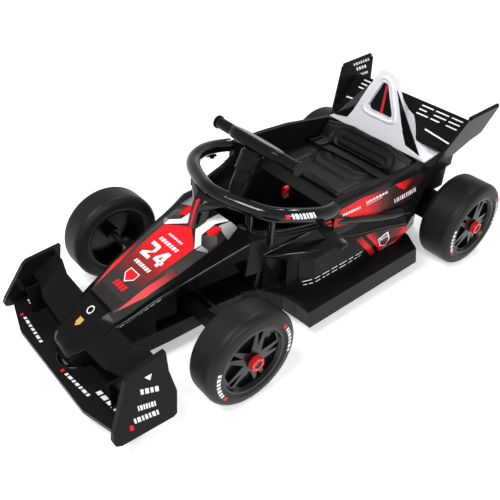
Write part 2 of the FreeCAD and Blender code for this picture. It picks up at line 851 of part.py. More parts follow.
OPENING_SHARES = [
    (0.247, 0.227, 0.114), (0.22, 0.394, 0.136), (0.079, 0.553, 0.152), (-0.063, 0.682, 0.076),
    (-0.383, 0.682), (-0.633, 0.629, 0.076),
]
WELL_SHARES = [
    (0.192, 0.303, 0.114), (0.15, 0.424, 0.076), (-0.063, 0.523, 0.076), (-0.628, 0.523, 0.038),
]
BEAD_SHARES = [
    (0.243, 0.288, 0.565), (0.231, 0.379, 0.559), (0.202, 0.477, 0.553), (0.157, 0.538, 0.547),
    (0.087, 0.598, 0.545), (0, 0.667, 0.547), (-0.06, 0.72, 0.557),
]
opening = padded("opening", "XY", symmetric(plan(OPENING_SHARES)),
                 level.platform - size.platform_thickness, "height")
well = padded("well", "XY", symmetric(plan(WELL_SHARES)), level.floor + size.tub_wall, "height")
cowl = hull("cowl", COWL_SHARES, ruled=True)
cabin = hull("cabin", CABIN_SHARES, ruled=True)
shell = cut("cockpit_shell", fuse("cockpit_outer", cowl, cabin), below_seam, channel, opening,
            well, toe_space, boot_room, column_hole)
left_bead = bent_rod("bead_left", [at(*p) for p in BEAD_SHARES], size.cowl_bead_radius)
right_bead = mirrored("bead_right", left_bead)
surround = keep(cut("cockpit_surround", fuse("cockpit_joined", shell, left_bead, right_bead),
                    hood), "cockpit_surround")

# Lower tub
TUB_SHARES = [
    (0.257, 0.371), (0.186, 0.462), (-0.063, 0.568), (-0.638, 0.568), (-0.787, 0.455),
    (-0.858, 0.417),
]
front_keel = common("front_keel", front_body, below_seam)
rear_floor = padded("rear_floor", "XY", symmetric(plan(TUB_SHARES)), level.floor,
                    seam_z - level.floor)
tub_shadow = padded("tub_shadow", "XY", symmetric(plan(TUB_SHARES)), 0, seam_z)
keep(cut("chassis_tub", fuse("tub_body", front_keel, rear_floor), well), "chassis_tub")

# Nose tip
NOSE_SHARES = [
    [(0.78, 0.25, 0.091), (0.78, 0.273, 0.213), (0.78, 0.277, 0.298), (0.78, 0.277, 0.32),
     (0.78, 0.258, 0.332), (0.78, 0.159, 0.354)],
    [(0.863, 0.167, 0.093), (0.863, 0.212, 0.158), (0.863, 0.22, 0.227), (0.863, 0.216, 0.255),
     (0.863, 0.197, 0.273), (0.863, 0.129, 0.302)],
    [(0.913, 0.129, 0.087), (0.913, 0.17, 0.134), (0.913, 0.178, 0.198), (0.913, 0.174, 0.231),
     (0.913, 0.155, 0.251), (0.913, 0.098, 0.273)],
    [(0.94, 0.076, 0.101), (0.94, 0.121, 0.138), (0.94, 0.133, 0.19), (0.94, 0.129, 0.219),
     (0.94, 0.114, 0.235), (0.94, 0.068, 0.251)],
    [(0.951, 0.03, 0.13), (0.951, 0.068, 0.158), (0.951, 0.076, 0.186), (0.951, 0.072, 0.202),
     (0.951, 0.061, 0.215), (0.951, 0.034, 0.223)],
]
nose = keep(hull("nose_tip", NOSE_SHARES), "nose_tip")

# Front wing: plane, leaning endplates and two-part flaps
WING_SHARES = [(1, 0.568, 0.152), (0.954, 0.977), (0.858, 0.977), (0.876, 0.379)]
ENDPLATE_SHARES = [
    (0.983, 0.105), (0.989, 0.126), (0.98, 0.162), (0.898, 0.356), (0.88, 0.377), (0.742, 0.395),
    (0.746, 0.304), (0.734, 0.194), (0.753, 0.089), (0.769, 0.081), (0.964, 0.093),
]
wing_blank = padded("wing_blank", "XY", symmetric(plan(WING_SHARES)), level.wing,
                    "wing_thickness")
notch = rod("wing_notch", (station.wing_notch, 0, 0), (station.wing_notch, 0, size.height),
            "wing_notch_radius")


def endplate(name, thickness):
    """The upright plate at the left end of the front wing, leaning in at the top."""
    slope = -math.tan(math.radians(size.front_plate_lean_deg))
    return loft(name, leaning(side_view(ENDPLATE_SHARES), span.front_plate_foot, level.wing,
                              slope, thickness))


left_endplate = keep(endplate("front_endplate_left", size.front_plate_thickness),
                     "front_endplate_left")
outboard = endplate("outboard", size.half_width)
right_endplate = keep(mirrored("front_endplate_right", left_endplate), "front_endplate_right")
wing = keep(cut("front_wing_plane", wing_blank, notch, nose, left_endplate, right_endplate),
            "front_wing_plane")

FLAP_SHARES = [
    [(0.898, 0.144, 0.243), (0.78, 0.227, 0.308), (0.78, 0.227, 0.296), (0.898, 0.144, 0.231)],
    [(0.896, 0.523, 0.277), (0.78, 0.576, 0.326), (0.78, 0.576, 0.314), (0.896, 0.523, 0.265)],
    [(0.868, 0.723, 0.279), (0.765, 0.72, 0.356), (0.765, 0.72, 0.344), (0.868, 0.723, 0.267)],
    [(0.868, 0.898, 0.279), (0.765, 0.898, 0.356), (0.765, 0.898, 0.344), (0.868, 0.898, 0.267)],
]
flap_loft = loft("flap_loft", [[at(*p) for p in section] for section in FLAP_SHARES], ruled=True)
fin_x, fin_y, fin_z = at(*FLAP_SHARES[2][0])
fin = box("flap_fin", (fin_x, fin_y - size.flap_fin_thickness, level.wing + size.wing_thickness),
          (fin_x + size.flap_fin_length, fin_y, fin_z))
pin_z = (level.wing + fin_z) / 2
pin = rod("flap_pin", (fin_x + size.flap_fin_length / 2, fin_y - size.flap_fin_thickness, pin_z),
          (fin_x + size.flap_fin_length / 2, span.front_plate_foot - size.flap_pin_radius, pin_z),
          "flap_pin_radius")
left_flap = keep(cut("front_flap_left", fuse("flap_body", flap_loft, fin, pin), nose, front_body,
                     outboard), "front_flap_left")
keep(mirrored("front_flap_right", left_flap), "front_flap_right")

# Side pods, each with a blind air inlet in front, and the skirts under them
POD_SHARES = [
    [(0.186, 0.492, 0.196), (0.186, 0.636, 0.196), (0.186, 0.652, 0.304), (0.186, 0.644, 0.405),
     (0.186, 0.621, 0.419), (0.186, 0.492, 0.425)],
    [(0.031, 0.492, 0.196), (0.031, 0.811, 0.196), (0.031, 0.803, 0.304), (0.031, 0.784, 0.397),
     (0.031, 0.72, 0.441), (0.031, 0.568, 0.457)],
    [(-0.143, 0.492, 0.196), (-0.143, 0.833, 0.196), (-0.143, 0.83, 0.304),
     (-0.143, 0.788, 0.403), (-0.143, 0.746, 0.482), (-0.143, 0.568, 0.49)],
    [(-0.296, 0.492, 0.196), (-0.296, 0.795, 0.196), (-0.296, 0.848, 0.304),
     (-0.296, 0.841, 0.399), (-0.296, 0.788, 0.486), (-0.296, 0.568, 0.494)],
    [(-0.461, 0.492, 0.196), (-0.461, 0.788, 0.196), (-0.461, 0.894, 0.304),
     (-0.461, 0.913, 0.364), (-0.461, 0.826, 0.449), (-0.461, 0.568, 0.457)],
    [(-0.586, 0.492, 0.196), (-0.586, 0.742, 0.196), (-0.586, 0.795, 0.263),
     (-0.586, 0.788, 0.34), (-0.586, 0.765, 0.415), (-0.586, 0.568, 0.425)],
]
INLET_SHARES = [
    [(0.205, 0.489, 0.211), (0.205, 0.621, 0.215), (0.205, 0.633, 0.304), (0.205, 0.625, 0.395),
     (0.205, 0.606, 0.405), (0.205, 0.489, 0.411)],
    [(0.072, 0.53, 0.215), (0.072, 0.644, 0.219), (0.072, 0.652, 0.304), (0.072, 0.644, 0.389),
     (0.072, 0.617, 0.401), (0.072, 0.53, 0.405)],
]
POD_FACE_SHARES = [(0.187, 0.489), (0.093, 0.716), (0.093, 1.136), (0.315, 1.136), (0.315, 0.489)]
pod_blank = loft("pod_blank", [[at(*p) for p in section] for section in POD_SHARES], ruled=True)
inlet = loft("inlet", [[at(*p) for p in section] for section in INLET_SHARES], ruled=True)
pod_face = padded("pod_face", "XY", plan(POD_FACE_SHARES), 0, "height")
solid_cockpit = fuse("solid_cockpit", cowl, cabin)
left_pod = keep(cut("sidepod_left", pod_blank, solid_cockpit, rear_floor, pod_face, inlet,
                    below_pods), "sidepod_left")
keep(mirrored("sidepod_right", left_pod), "sidepod_right")

SKIRT_SHARES = [
    [(0.189, 0.341, 0.081), (0.157, 0.53, 0.081), (0.129, 0.659, 0.081), (0.121, 0.833, 0.081),
     (0.117, 0.996, 0.081), (-0.543, 0.992, 0.081), (-0.58, 0.78, 0.081), (-0.58, 0.455, 0.081)],
    [(0.214, 0.402, 0.196), (0.172, 0.553, 0.196), (0.145, 0.678, 0.196), (0.135, 0.837, 0.196),
     (0.135, 0.996, 0.196), (-0.518, 0.992, 0.196), (-0.57, 0.78, 0.196), (-0.57, 0.455, 0.196)],
]
skirt_blank = loft("skirt_blank", [[at(*p) for p in section] for section in SKIRT_SHARES],
                   ruled=True)
left_skirt = keep(cut("skirt_left", skirt_blank, tub_shadow, front_keel, solid_cockpit),
                  "skirt_left")
keep(mirrored("skirt_right", left_skirt), "skirt_right")

# Tail cover, with room for the gearboxes and a shallow arch beside each rear tyre
TAIL_SIDE_SHARES = [
    (-0.638, 0.121), (-0.638, 0.599), (-0.891, 0.599), (-0.91, 0.472, 0.04),
    (-0.898, 0.304, 0.04), (-0.858, 0.186), (-0.858, 0.121),
]
TAIL_CORNER_SHARES = [(-0.809, 0.75), (-0.894, 0.523)]
tail_side = padded("tail_side", "XZ", side_view(TAIL_SIDE_SHARES), -tail_half_width,
                   2 * tail_half_width)
corner_in = plan(TAIL_CORNER_SHARES)
tail_plan = padded("tail_plan", "XY", symmetric(
    [(0, tail_half_width), (corner_in[0][0], tail_half_width), corner_in[1],
     (-beyond, corner_in[1][1])]), 0, "height")
gear_room = [
    box(f"gear_room_{side}", (-beyond, min(side * gear_room_y, side * beyond), 0),
        (rear_axle_x + size.gearbox_reach * 2, max(side * gear_room_y, side * beyond),
         axle_z + size.gearbox_half_height + size.gear_room_headroom))
    for side in (1, -1)
]
arches = [
    rod(f"arch_{side}", (rear_axle_x, side * (tail_half_width - size.arch_recess), axle_z),
        (rear_axle_x, side * beyond, axle_z), size.tyre_radius + size.arch_gap)
    for side in (1, -1)
]
axle_slot = rod("axle_slot", (rear_axle_x, -beyond, axle_z), (rear_axle_x, beyond, axle_z),
                "axle_radius")
keep(cut("tail_cover", common("tail_blank", tail_side, tail_plan), below_seam, *gear_room,
         *arches, axle_slot), "tail_cover")

# Roll hoop: a pyramid behind a flat frame, both standing on a deck plate
DECK_SHARES = [(-0.643, 0.67), (-0.776, 0.648), (-0.85, 0.587), (-0.89, 0.527)]
HOOP_CORE_SHARES = [
    [(-0.647, 0.644, 0.607), (-0.685, 0.636, 0.607), (-0.871, 0.348, 0.607)],
    [(-0.647, 0.432, 0.636), (-0.688, 0.424, 0.636), (-0.865, 0.273, 0.636)],
    [(-0.65, 0.311, 0.745), (-0.693, 0.295, 0.745), (-0.806, 0.106, 0.745)],
    [(-0.658, 0.197, 0.879), (-0.701, 0.174, 0.879), (-0.737, 0.045, 0.879)],
    [(-0.668, 0.091, 0.986), (-0.687, 0.076, 0.986), (-0.696, 0.03, 0.986)],
]
HOOP_SHARES = [
    (0.67, 0.605), (0.644, 0.619, 0.012), (0.424, 0.638, 0.028), (0.303, 0.745, 0.061),
    (0.098, 0.996, 0.049),
]
HOOP_GAP_SHARES = [(0.189, 0.753, 0.024), (0.038, 0.935, 0.016)]
HOOP_PANEL_SHARES = [(0.129, 0.939), (0.598, 0.63), (0.409, 0.652), (0.295, 0.753)]
deck = padded("deck", "XY", symmetric(plan(DECK_SHARES)), level.deck, "deck_thickness")
core = hull("hoop_core", HOOP_CORE_SHARES, ruled=True)
hoop_stand = Placement(Vector(), Rotation(Vector(0, 1, 0), -size.hoop_lean_deg),
                       Vector(station.hoop, 0, level.deck))


def hoop_plate(name, outline, front, depth):
    """A plate of the hoop, leaning back, its front face this far behind the hoop's foot."""
    plate = padded(name + "_upright", "YZ", outline, station.hoop - front - depth, depth)
    return placed(name, plate, hoop_stand)


frame = hoop_plate("hoop_frame", upright(front_view(HOOP_SHARES)), 0, size.hoop_frame_depth)
gap = hoop_plate("hoop_gap", upright(front_view(HOOP_GAP_SHARES)), -size.hoop_frame_depth,
                 2 * size.hoop_frame_depth)
left_panel = hoop_plate("hoop_panel_blank", front_view(HOOP_PANEL_SHARES), 0,
                        size.hoop_panel_thickness)
roll_hoop = keep(cut("roll_hoop", fuse("hoop_body", core, deck, frame), gap, left_panel,
                     mirrored("hoop_panel_room", left_panel)), "roll_hoop")
keep(cut("hoop_mesh", hoop_plate("mesh_blank", upright(front_view(HOOP_GAP_SHARES)),
                                 size.hoop_frame_depth - size.mesh_thickness,
                                 size.mesh_thickness), roll_hoop), "hoop_mesh")
keep(left_panel, "hoop_panel_left")
keep(mirrored("hoop_panel_right", left_panel), "hoop_panel_right")

# Rear wing
REAR_PLATE_SHARES = [
    (-0.698, 0.599), (-0.698, 0.619), (-0.784, 0.838), (-0.798, 0.846), (-0.986, 0.856),
    (-1, 0.842), (-0.967, 0.688), (-0.951, 0.676), (-0.898, 0.658), (-0.809, 0.599),
]
REAR_PLANE_SHARES = [
    (-0.74, 0.632), (-0.819, 0.682), (-0.891, 0.753), (-0.898, 0.769), (-0.888, 0.775),
    (-0.813, 0.702), (-0.743, 0.648),
]
splay = math.tan(math.radians(size.rear_plate_splay_deg))
plate_foot_y = tail_half_width - size.rear_plate_thickness


def rear_plate(name):
    """The upright plate at the left end of the rear wing, with a rounded lip along its top."""
    corners = side_view(REAR_PLATE_SHARES)
    plate = loft(name + "_plate", leaning(corners, plate_foot_y, level.deck, splay,
                                          size.rear_plate_thickness))
    ends = [(x, plate_foot_y + (z - level.deck) * splay + size.rear_plate_thickness / 2, z)
            for x, z in (corners[3], corners[4])]
    return fuse(name, plate, rod(name + "_lip", *ends, "rear_lip_radius"))


left_rear_plate = keep(rear_plate("rear_endplate_left"), "rear_endplate_left")
keep(mirrored("rear_endplate_right", left_rear_plate), "rear_endplate_right")
plane_end = leaning(side_view(REAR_PLANE_SHARES), plate_foot_y, level.deck, splay, 0)[0]
keep(cut("rear_wing_plane",
         loft("rear_plane_blank", [plane_end, [(x, -y, z) for x, y, z in plane_end]], ruled=True),
         roll_hoop), "rear_wing_plane")

# Halo: a bent tube from rail to rail on a front pillar and four short posts
HALO_SHARES = [
    (-0.06, 0.746, 0.634), (0.024, 0.761, 0.652), (0.12, 0.686, 0.676), (0.184, 0.572, 0.684),
    (0.231, 0.386, 0.694), (0.261, 0.197, 0.702), (0.28, 0, 0.709),
]
PILLAR_SHARES = [
    [(0.38, 0.045, 0.53), (0.369, 0.057, 0.53), (0.328, 0.057, 0.53)],
    [(0.354, 0.049, 0.632), (0.34, 0.068, 0.632), (0.302, 0.061, 0.632)],
    [(0.339, 0.057, 0.676), (0.306, 0.189, 0.676), (0.274, 0.129, 0.676)],
    [(0.312, 0.076, 0.702), (0.271, 0.318, 0.702), (0.252, 0.167, 0.702)],
]
POST_SHARES = [(0.176, 0.542, 0.506), (0.231, 0.402, 0.506)]


def halo(name):
    left_half = [at(*p) for p in HALO_SHARES]
    points = left_half + [(x, -y, z) for x, y, z in reversed(left_half[:-1])]
    tube = bent_rod(name + "_tube", points, size.halo_tube_radius)
    pillar = hull(name + "_pillar", PILLAR_SHARES, ruled=True)
    posts = [rod(f"{name}_post_{number}", at(x, side * y, z), at(x, side * y, HALO_SHARES[3][2]),
                 "post_radius")
             for number, (x, y, z) in enumerate(POST_SHARES) for side in (1, -1)]
    return cut(name, fuse(name + "_joined", tube, pillar, *posts), surround, solid_cockpit, hood)


ring = keep(halo("halo"), "halo")

# Mirrors, each a thin paddle on a short stem under the ring
MIRROR_SHARES = [
    [(0.046, 0.803, 0.601), (-0.008, 0.803, 0.583), (-0.008, 0.803, 0.569),
     (0.046, 0.803, 0.587)],
    [(0.031, 1.064, 0.553), (-0.008, 1.064, 0.561), (-0.008, 1.064, 0.547),
     (0.031, 1.064, 0.538)],
]
MIRROR_STEM_SHARES = [(0.019, 0.799, 0.575), (0.019, 0.799, 0.638)]
mirror_body = fuse("mirror_body",
                   loft("mirror_paddle", [[at(*p) for p in section] for section in MIRROR_SHARES],
                        ruled=True),
                   rod("mirror_stem", at(*MIRROR_STEM_SHARES[0]), at(*MIRROR_STEM_SHARES[1]),
                       "mirror_stem_radius"))
left_mirror = keep(cut("mirror_left", mirror_body, ring), "mirror_left")
keep(mirrored("mirror_right", left_mirror), "mirror_right")

# Seat: a block with a platform and a sloping back, the cushions and the lap belt
SEAT_FRONT_SHARE = -0.173
SEAT_BACK_SHARES = [(-0.557, 0.482), (-0.628, 0.589), (-0.631, 0.589), (-0.631, 0.482)]
CUSHION_SHARES = [(-0.249, 0.568, 0.174), (-0.532, 0.595, 0.038)]
BACK_CUSHION_SHARES = [
    (-0.562, 0.488), (-0.537, 0.514, 0.016), (-0.606, 0.621, 0.016), (-0.631, 0.595, 0.008),
]
BELT_SHARES = [(-0.485, 0.553), (-0.526, 0.576)]
BUCKLE_SHARES = [(-0.472, -0.394), (-0.532, -0.53)]
seat_front_x = SEAT_FRONT_SHARE * size.half_length
seat_rear_x = at(*SEAT_BACK_SHARES[2], 0)[0]
block = box("seat_block", (seat_rear_x, -span.seat_block, seam_z),
            (seat_front_x, span.seat_block, level.platform))
platform = box("seat_platform",
               (seat_rear_x, -span.platform, level.platform - size.platform_thickness),
               (seat_front_x, span.platform, level.platform))
seat_back = padded("seat_back", "XZ", side_view(SEAT_BACK_SHARES), -span.platform,
                   2 * span.platform)
seat = keep(cut("seat_base", fuse("seat_body", block, platform, seat_back), surround),
            "seat_base")
cushion = keep(padded("seat_cushion", "XY", symmetric(plan(CUSHION_SHARES)), level.platform,
                      "cushion_thickness"), "seat_cushion")
back_blank = padded("back_blank", "XZ", side_view(BACK_CUSHION_SHARES), -span.back_cushion,
                    2 * span.back_cushion)
keep(cut("back_cushion", back_blank, seat, surround), "back_cushion")
cushion_top = level.platform + size.cushion_thickness
strap = padded("belt_strap", "XY", symmetric(plan(BELT_SHARES)), cushion_top, "belt_thickness")
buckle_near, buckle_far = plan(BUCKLE_SHARES)
buckle = box("belt_buckle", (*buckle_far, cushion_top),
             (*buckle_near, cushion_top + size.buckle_thickness))
keep(fuse("seat_belt", strap, buckle), "seat_belt")

# Start switch on the front of the seat block, foot pedal and battery
SWITCH_SHARES = (-0.125, 0.464)
PEDAL_SHARES = [(0.11, 0.101), (0.12, 0.101), (0.173, 0.211), (0.165, 0.217)]
switch_y, switch_z = front_view([SWITCH_SHARES])[0]
key_z = switch_z - size.knob_radius - size.key_radius
knob = rod("switch_knob", (seat_front_x, switch_y, switch_z),
           (seat_front_x + size.knob_length, switch_y, switch_z), "knob_radius")
key = rod("switch_key", (seat_front_x, switch_y, key_z),
          (seat_front_x + size.key_length, switch_y, key_z), "key_radius")
keep(fuse("start_switch", knob, key), "start_switch")
keep(cut("foot_pedal", padded("pedal_blank", "XZ", side_view(PEDAL_SHARES), -span.pedal_outer,
                              "pedal_width"), below_floor), "foot_pedal")
keep(box("battery_block", (station.battery_rear, -span.battery, level.floor + size.tub_wall),
         (station.battery_front, span.battery, seam_z)), "battery_block")


# Write the pieces
def sound(piece):
    """Whether a finished piece is one good shape."""
    return not piece.Shape.isNull() and piece.Shape.isValid()


doc.recompute()
broken = [o.Label for o in doc.Objects if "Invalid" in o.State or "Error" in o.State]
broken += [piece.Label for piece in pieces if not sound(piece)]
if broken:
    raise RuntimeError("These pieces failed: " + ", ".join(broken))
os.makedirs("parts", exist_ok=True)
for piece in pieces:
    piece.Shape.exportStep(f"parts/{piece.Label}.step")
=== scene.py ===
# %% [markdown]
# A child's ride-on racing car, dressed for the camera.
#
# The car is black moulded plastic with printed sticker sheets, slick plastic tyres, a padded
# imitation leather seat and a white roll hoop. Its solids come packed from the CAD step and stay
# where they are. This script gives them their finishes, adds the sticker sheets and small parts,
# and sews the cushions.

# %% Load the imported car
import contextlib
import math

import bmesh
import bpy
from mathutils import Matrix, Vector


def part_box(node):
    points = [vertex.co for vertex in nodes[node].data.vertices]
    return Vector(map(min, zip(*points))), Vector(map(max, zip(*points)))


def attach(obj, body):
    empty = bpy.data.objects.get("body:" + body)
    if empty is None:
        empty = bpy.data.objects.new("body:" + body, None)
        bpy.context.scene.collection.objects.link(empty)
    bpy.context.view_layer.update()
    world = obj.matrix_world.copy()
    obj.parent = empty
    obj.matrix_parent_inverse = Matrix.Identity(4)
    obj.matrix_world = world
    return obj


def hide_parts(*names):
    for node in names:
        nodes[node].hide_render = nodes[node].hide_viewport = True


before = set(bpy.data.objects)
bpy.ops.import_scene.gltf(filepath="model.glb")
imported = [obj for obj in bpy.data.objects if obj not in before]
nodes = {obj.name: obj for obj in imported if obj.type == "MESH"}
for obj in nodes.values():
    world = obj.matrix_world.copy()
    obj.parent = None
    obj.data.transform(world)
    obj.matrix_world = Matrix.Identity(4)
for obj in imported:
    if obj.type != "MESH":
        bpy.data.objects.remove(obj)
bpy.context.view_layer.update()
bpy.ops.object.select_all(action="DESELECT")
MM = 0.001
ABOVE, FRONT = Vector((0, 0, 1)), Vector((1, 0, 0))
LEFT, RIGHT = Vector((0, 1, 0)), Vector((0, -1, 0))
SIDES = (("left", 1, LEFT), ("right", -1, RIGHT))

# %% [markdown]
# The photograph was taken from in front of the car, from its left and well above it. The camera
# stands where the picture's perspective says: at this bearing and height round a point of the
# cockpit, with the picture turned a little about its middle.

# %% Camera
TARGET = Vector((0.0661, 0.0203, 0.1322))
BEARING, ELEVATION, ROLL = 0.84910, 0.65977, 0.03448
DISTANCE = 1.67407
FOCAL_PIXELS, PICTURE_PIXELS, SENSOR = 640.0, 500, 36.0

outward = Vector((
    math.cos(ELEVATION) * math.cos(BEARING),
    math.cos(ELEVATION) * math.sin(BEARING),
    math.sin(ELEVATION),
))
bpy.ops.object.camera_add(location=TARGET + outward * DISTANCE)
camera = bpy.context.object
camera.name = "camera"
turn = outward.to_track_quat("Z", "Y").to_matrix().to_4x4() @ Matrix.Rotation(ROLL, 4, "Z")
camera.rotation_euler = turn.to_euler()
camera.data.sensor_width = SENSOR
camera.data.lens = SENSOR * FOCAL_PIXELS / PICTURE_PIXELS
bpy.context.scene.camera = camera
bpy.context.scene.view_settings.view_transform = "Standard"
print("lens", round(camera.data.lens, 1), "mm")

# %% [markdown]
# Every finish is a small tree of shader nodes. A few short functions place the kinds of node that
# most of them need, and each takes either a plain value or another node's output, so a finish
# below reads as one sum from the grain to the shader.

# %% Helpers for materials


def feed(tree, node, inputs):
    """Give a node's inputs their values, or link the sockets that feed them."""
    for label, value in inputs.items():
        if isinstance(value, bpy.types.NodeSocket):
            tree.links.new(value, node.inputs[label])
        else:
            node.inputs[label].default_value = value
    return node


def add_node(tree, kind, inputs, **settings):
    """A shader node with its settings and inputs."""
    node = tree.nodes.new("ShaderNode" + kind)
    for setting, value in settings.items():
        setattr(node, setting, value)
    return feed(tree, node, inputs)


def math_node(tree, operation, first, second):
    """The output of a Math node fed by sockets or plain numbers."""
    return add_node(tree, "Math", {0: first, 1: second}, operation=operation).outputs[0]


def ranged(tree, value, **limits):
    """A value mapped from one range to another; from_min, from_max, to_min and to_max."""
    inputs = {label.replace("_", " ").title(): limit for label, limit in limits.items()}
    return add_node(tree, "MapRange", {"Value": value, **inputs}).outputs["Result"]


def noise(tree, place, **values):
    """Noise at a place, between nought and one."""
    inputs = {label.title(): value for label, value in values.items()}
    return add_node(tree, "TexNoise", {"Vector": place, **inputs}).outputs["Fac"]


def bumped(tree, height, strength, distance):
    """The surface's normal, tilted by a height."""
    return add_node(tree, "Bump", {"Height": height, "Strength": strength,
                                   "Distance": distance}).outputs["Normal"]


def mixed(tree, factor, first, second):
    """A colour between two."""
    return add_node(tree, "Mix", {"A": (*first, 1), "B": (*second, 1), "Factor": factor},
                    data_type="RGBA").outputs["Result"]


def place_of(tree):
    """The place on the car, the same for every piece because all stand at the origin."""
    return add_node(tree, "TexCoord", {}).outputs["Object"]


def new_material(name):
    """A material, its node tree and its shader."""
    material = bpy.data.materials.new(name)
    material.use_nodes = True
    return material, material.node_tree, material.node_tree.nodes["Principled BSDF"]


# %% [markdown]
# The picture has a plain white ground. The floor and the world round the car show white to the
# camera, to gloss and to glass, the room is dimmer overhead, and the floor still takes the car's
# soft shadow. The light itself is plain: a large softbox in front and above, a fill on the car's
# left and one behind.

# %% Floor, world and lamps
FLOOR_SIZE, FLOOR_GLOW, ROOM_LIGHT = 12.0, 0.45, 0.42


def seen_rays(tree):
    """One for the rays that show a surface itself: to the camera, to gloss and to glass."""
    rays = add_node(tree, "LightPath", {}).outputs
    direct = math_node(tree, "MAXIMUM", rays["Is Camera Ray"], rays["Is Glossy Ray"])
    return math_node(tree, "MAXIMUM", direct, rays["Is Transmission Ray"])


def floor_material():
    """White where it is lit, with the shadow kept as a soft grey."""
    material, tree, _ = new_material("studio_floor")
    tree.nodes.clear()
    diffuse = add_node(tree, "BsdfDiffuse", {"Color": (0.86, 0.86, 0.86, 1)})
    strength = math_node(tree, "MULTIPLY", seen_rays(tree), FLOOR_GLOW)
    glow = add_node(tree, "Emission", {"Strength": strength})
    both = add_node(tree, "AddShader", {0: diffuse.outputs[0], 1: glow.outputs[0]})
    add_node(tree, "OutputMaterial", {"Surface": both.outputs[0]})
    return material


bpy.ops.mesh.primitive_plane_add(size=FLOOR_SIZE)
floor = bpy.context.object
floor.name = "studio_floor"
floor.data.materials.append(floor_material())

world = bpy.data.worlds.new("studio")
world.use_nodes = True
bpy.context.scene.world = world
sky = world.node_tree
facing = add_node(sky, "TexCoord", {}).outputs["Generated"]
height = add_node(sky, "SeparateXYZ", {"Vector": facing}).outputs["Z"]
low_down = ranged(sky, height, from_min=0.1, from_max=0.55, to_min=1.0, to_max=0.0)
shown = math_node(sky, "MULTIPLY", seen_rays(sky), low_down)
feed(sky, sky.nodes["Background"], {
    "Color": (1, 1, 1, 1), "Strength": ranged(sky, shown, to_min=ROOM_LIGHT, to_max=1.0)})

for name, place, size, power in (("key_softbox", (1.4, 0.2, 2.3), 0.9, 48),
                                 ("fill_softbox", (0.4, 2.3, 1.3), 0.6, 26),
                                 ("back_softbox", (-1.6, -0.7, 2.7), 0.6, 30)):
    bpy.ops.object.light_add(type="AREA", location=place)
    lamp = bpy.context.object
    lamp.name = name
    lamp.data.size = size
    lamp.data.energy = power
    lamp.rotation_euler = (Vector(place) - TARGET).to_track_quat("Z", "Y").to_euler()

# %% [markdown]
# Most of the car is injection moulded plastic. A real moulding has a fine spark texture from its
# mould, faint flow unevenness in its gloss, and slightly rubbed edges. One node group makes that
# texture's height with the cloudy change of gloss, another the rubbed edges, and each material
# uses them with its own values.

# %% Shared shader groups


def new_group(name, inputs, outputs):
    """An empty shader node group with named number sockets."""
    group = bpy.data.node_groups.new(name, "ShaderNodeTree")
    for label in inputs:
        group.interface.new_socket(name=label, in_out="INPUT", socket_type="NodeSocketFloat")
    for label in outputs:
        group.interface.new_socket(name=label, in_out="OUTPUT", socket_type="NodeSocketFloat")
    return group, group.nodes.new("NodeGroupInput").outputs, group.nodes.new("NodeGroupOutput")


def moulded_grain_group():
    """The mould's spark texture as a height, and patches of changed gloss as a roughness."""
    group, values, result = new_group("moulded_grain", ("Grain Size", "Roughness", "Unevenness"),
                                      ("Height", "Roughness"))
    place = place_of(group)
    fine = noise(group, place, scale=math_node(group, "DIVIDE", 1.0, values["Grain Size"]),
                 detail=2)
    clouds = math_node(group, "SUBTRACT", noise(group, place, scale=14, detail=4), 0.5)
    swing = math_node(group, "MULTIPLY", clouds, values["Unevenness"])
    feed(group, result, {"Height": fine,
                         "Roughness": math_node(group, "ADD", swing, values["Roughness"])})
    return group


def edge_wear_group():
    """How rubbed a place is: nought on flat faces, one on outer edges and corners."""
    group, values, result = new_group("edge_wear", ("Amount",), ("Mask",))
    pointiness = add_node(group, "NewGeometry", {}).outputs["Pointiness"]
    sharp = ranged(group, pointiness, from_min=0.53, from_max=0.68)
    rubbed = math_node(group, "MULTIPLY", sharp,
                       noise(group, place_of(group), scale=60, detail=3))
    feed(group, result, {"Mask": math_node(group, "MULTIPLY", rubbed, values["Amount"])})
    return group


moulded_grain, edge_wear = moulded_grain_group(), edge_wear_group()
print("shader groups:", moulded_grain.name, edge_wear.name)

# %% [markdown]
# One function makes each plastic: its colour, how rough it is, how deep its grain is, and a
# lighter tone where edges are rubbed. Satin body, glossy trim, tyre, red and white plastic all
# differ only in these values.

# %% Plastics
WEAR = 0.35


def grained(tree, roughness, grain_size, unevenness):
    """The outputs of a moulded grain node."""
    grain = tree.nodes.new("ShaderNodeGroup")
    grain.node_tree = moulded_grain
    return feed(tree, grain, {"Grain Size": grain_size, "Roughness": roughness,
                              "Unevenness": unevenness}).outputs


def plastic(name, colour, roughness, grain_size=0.0011, grain_depth=0.02, unevenness=0.12,
            worn=None, shine=0.16):
    """Moulded plastic with a grain, cloudy gloss and rubbed edges."""
    material, tree, shader = new_material(name)
    grain = grained(tree, roughness, grain_size, unevenness)
    rubbed = tree.nodes.new("ShaderNodeGroup")
    rubbed.node_tree = edge_wear
    feed(tree, rubbed, {"Amount": WEAR})
    worn = worn or [channel * 1.8 + 0.01 for channel in colour]
    feed(tree, shader, {
        "Base Color": mixed(tree, rubbed.outputs["Mask"], colour, worn),
        "Roughness": grain["Roughness"],
        "Normal": bumped(tree, grain["Height"], grain_depth, 0.001),
        "Specular IOR Level": shine})
    return material


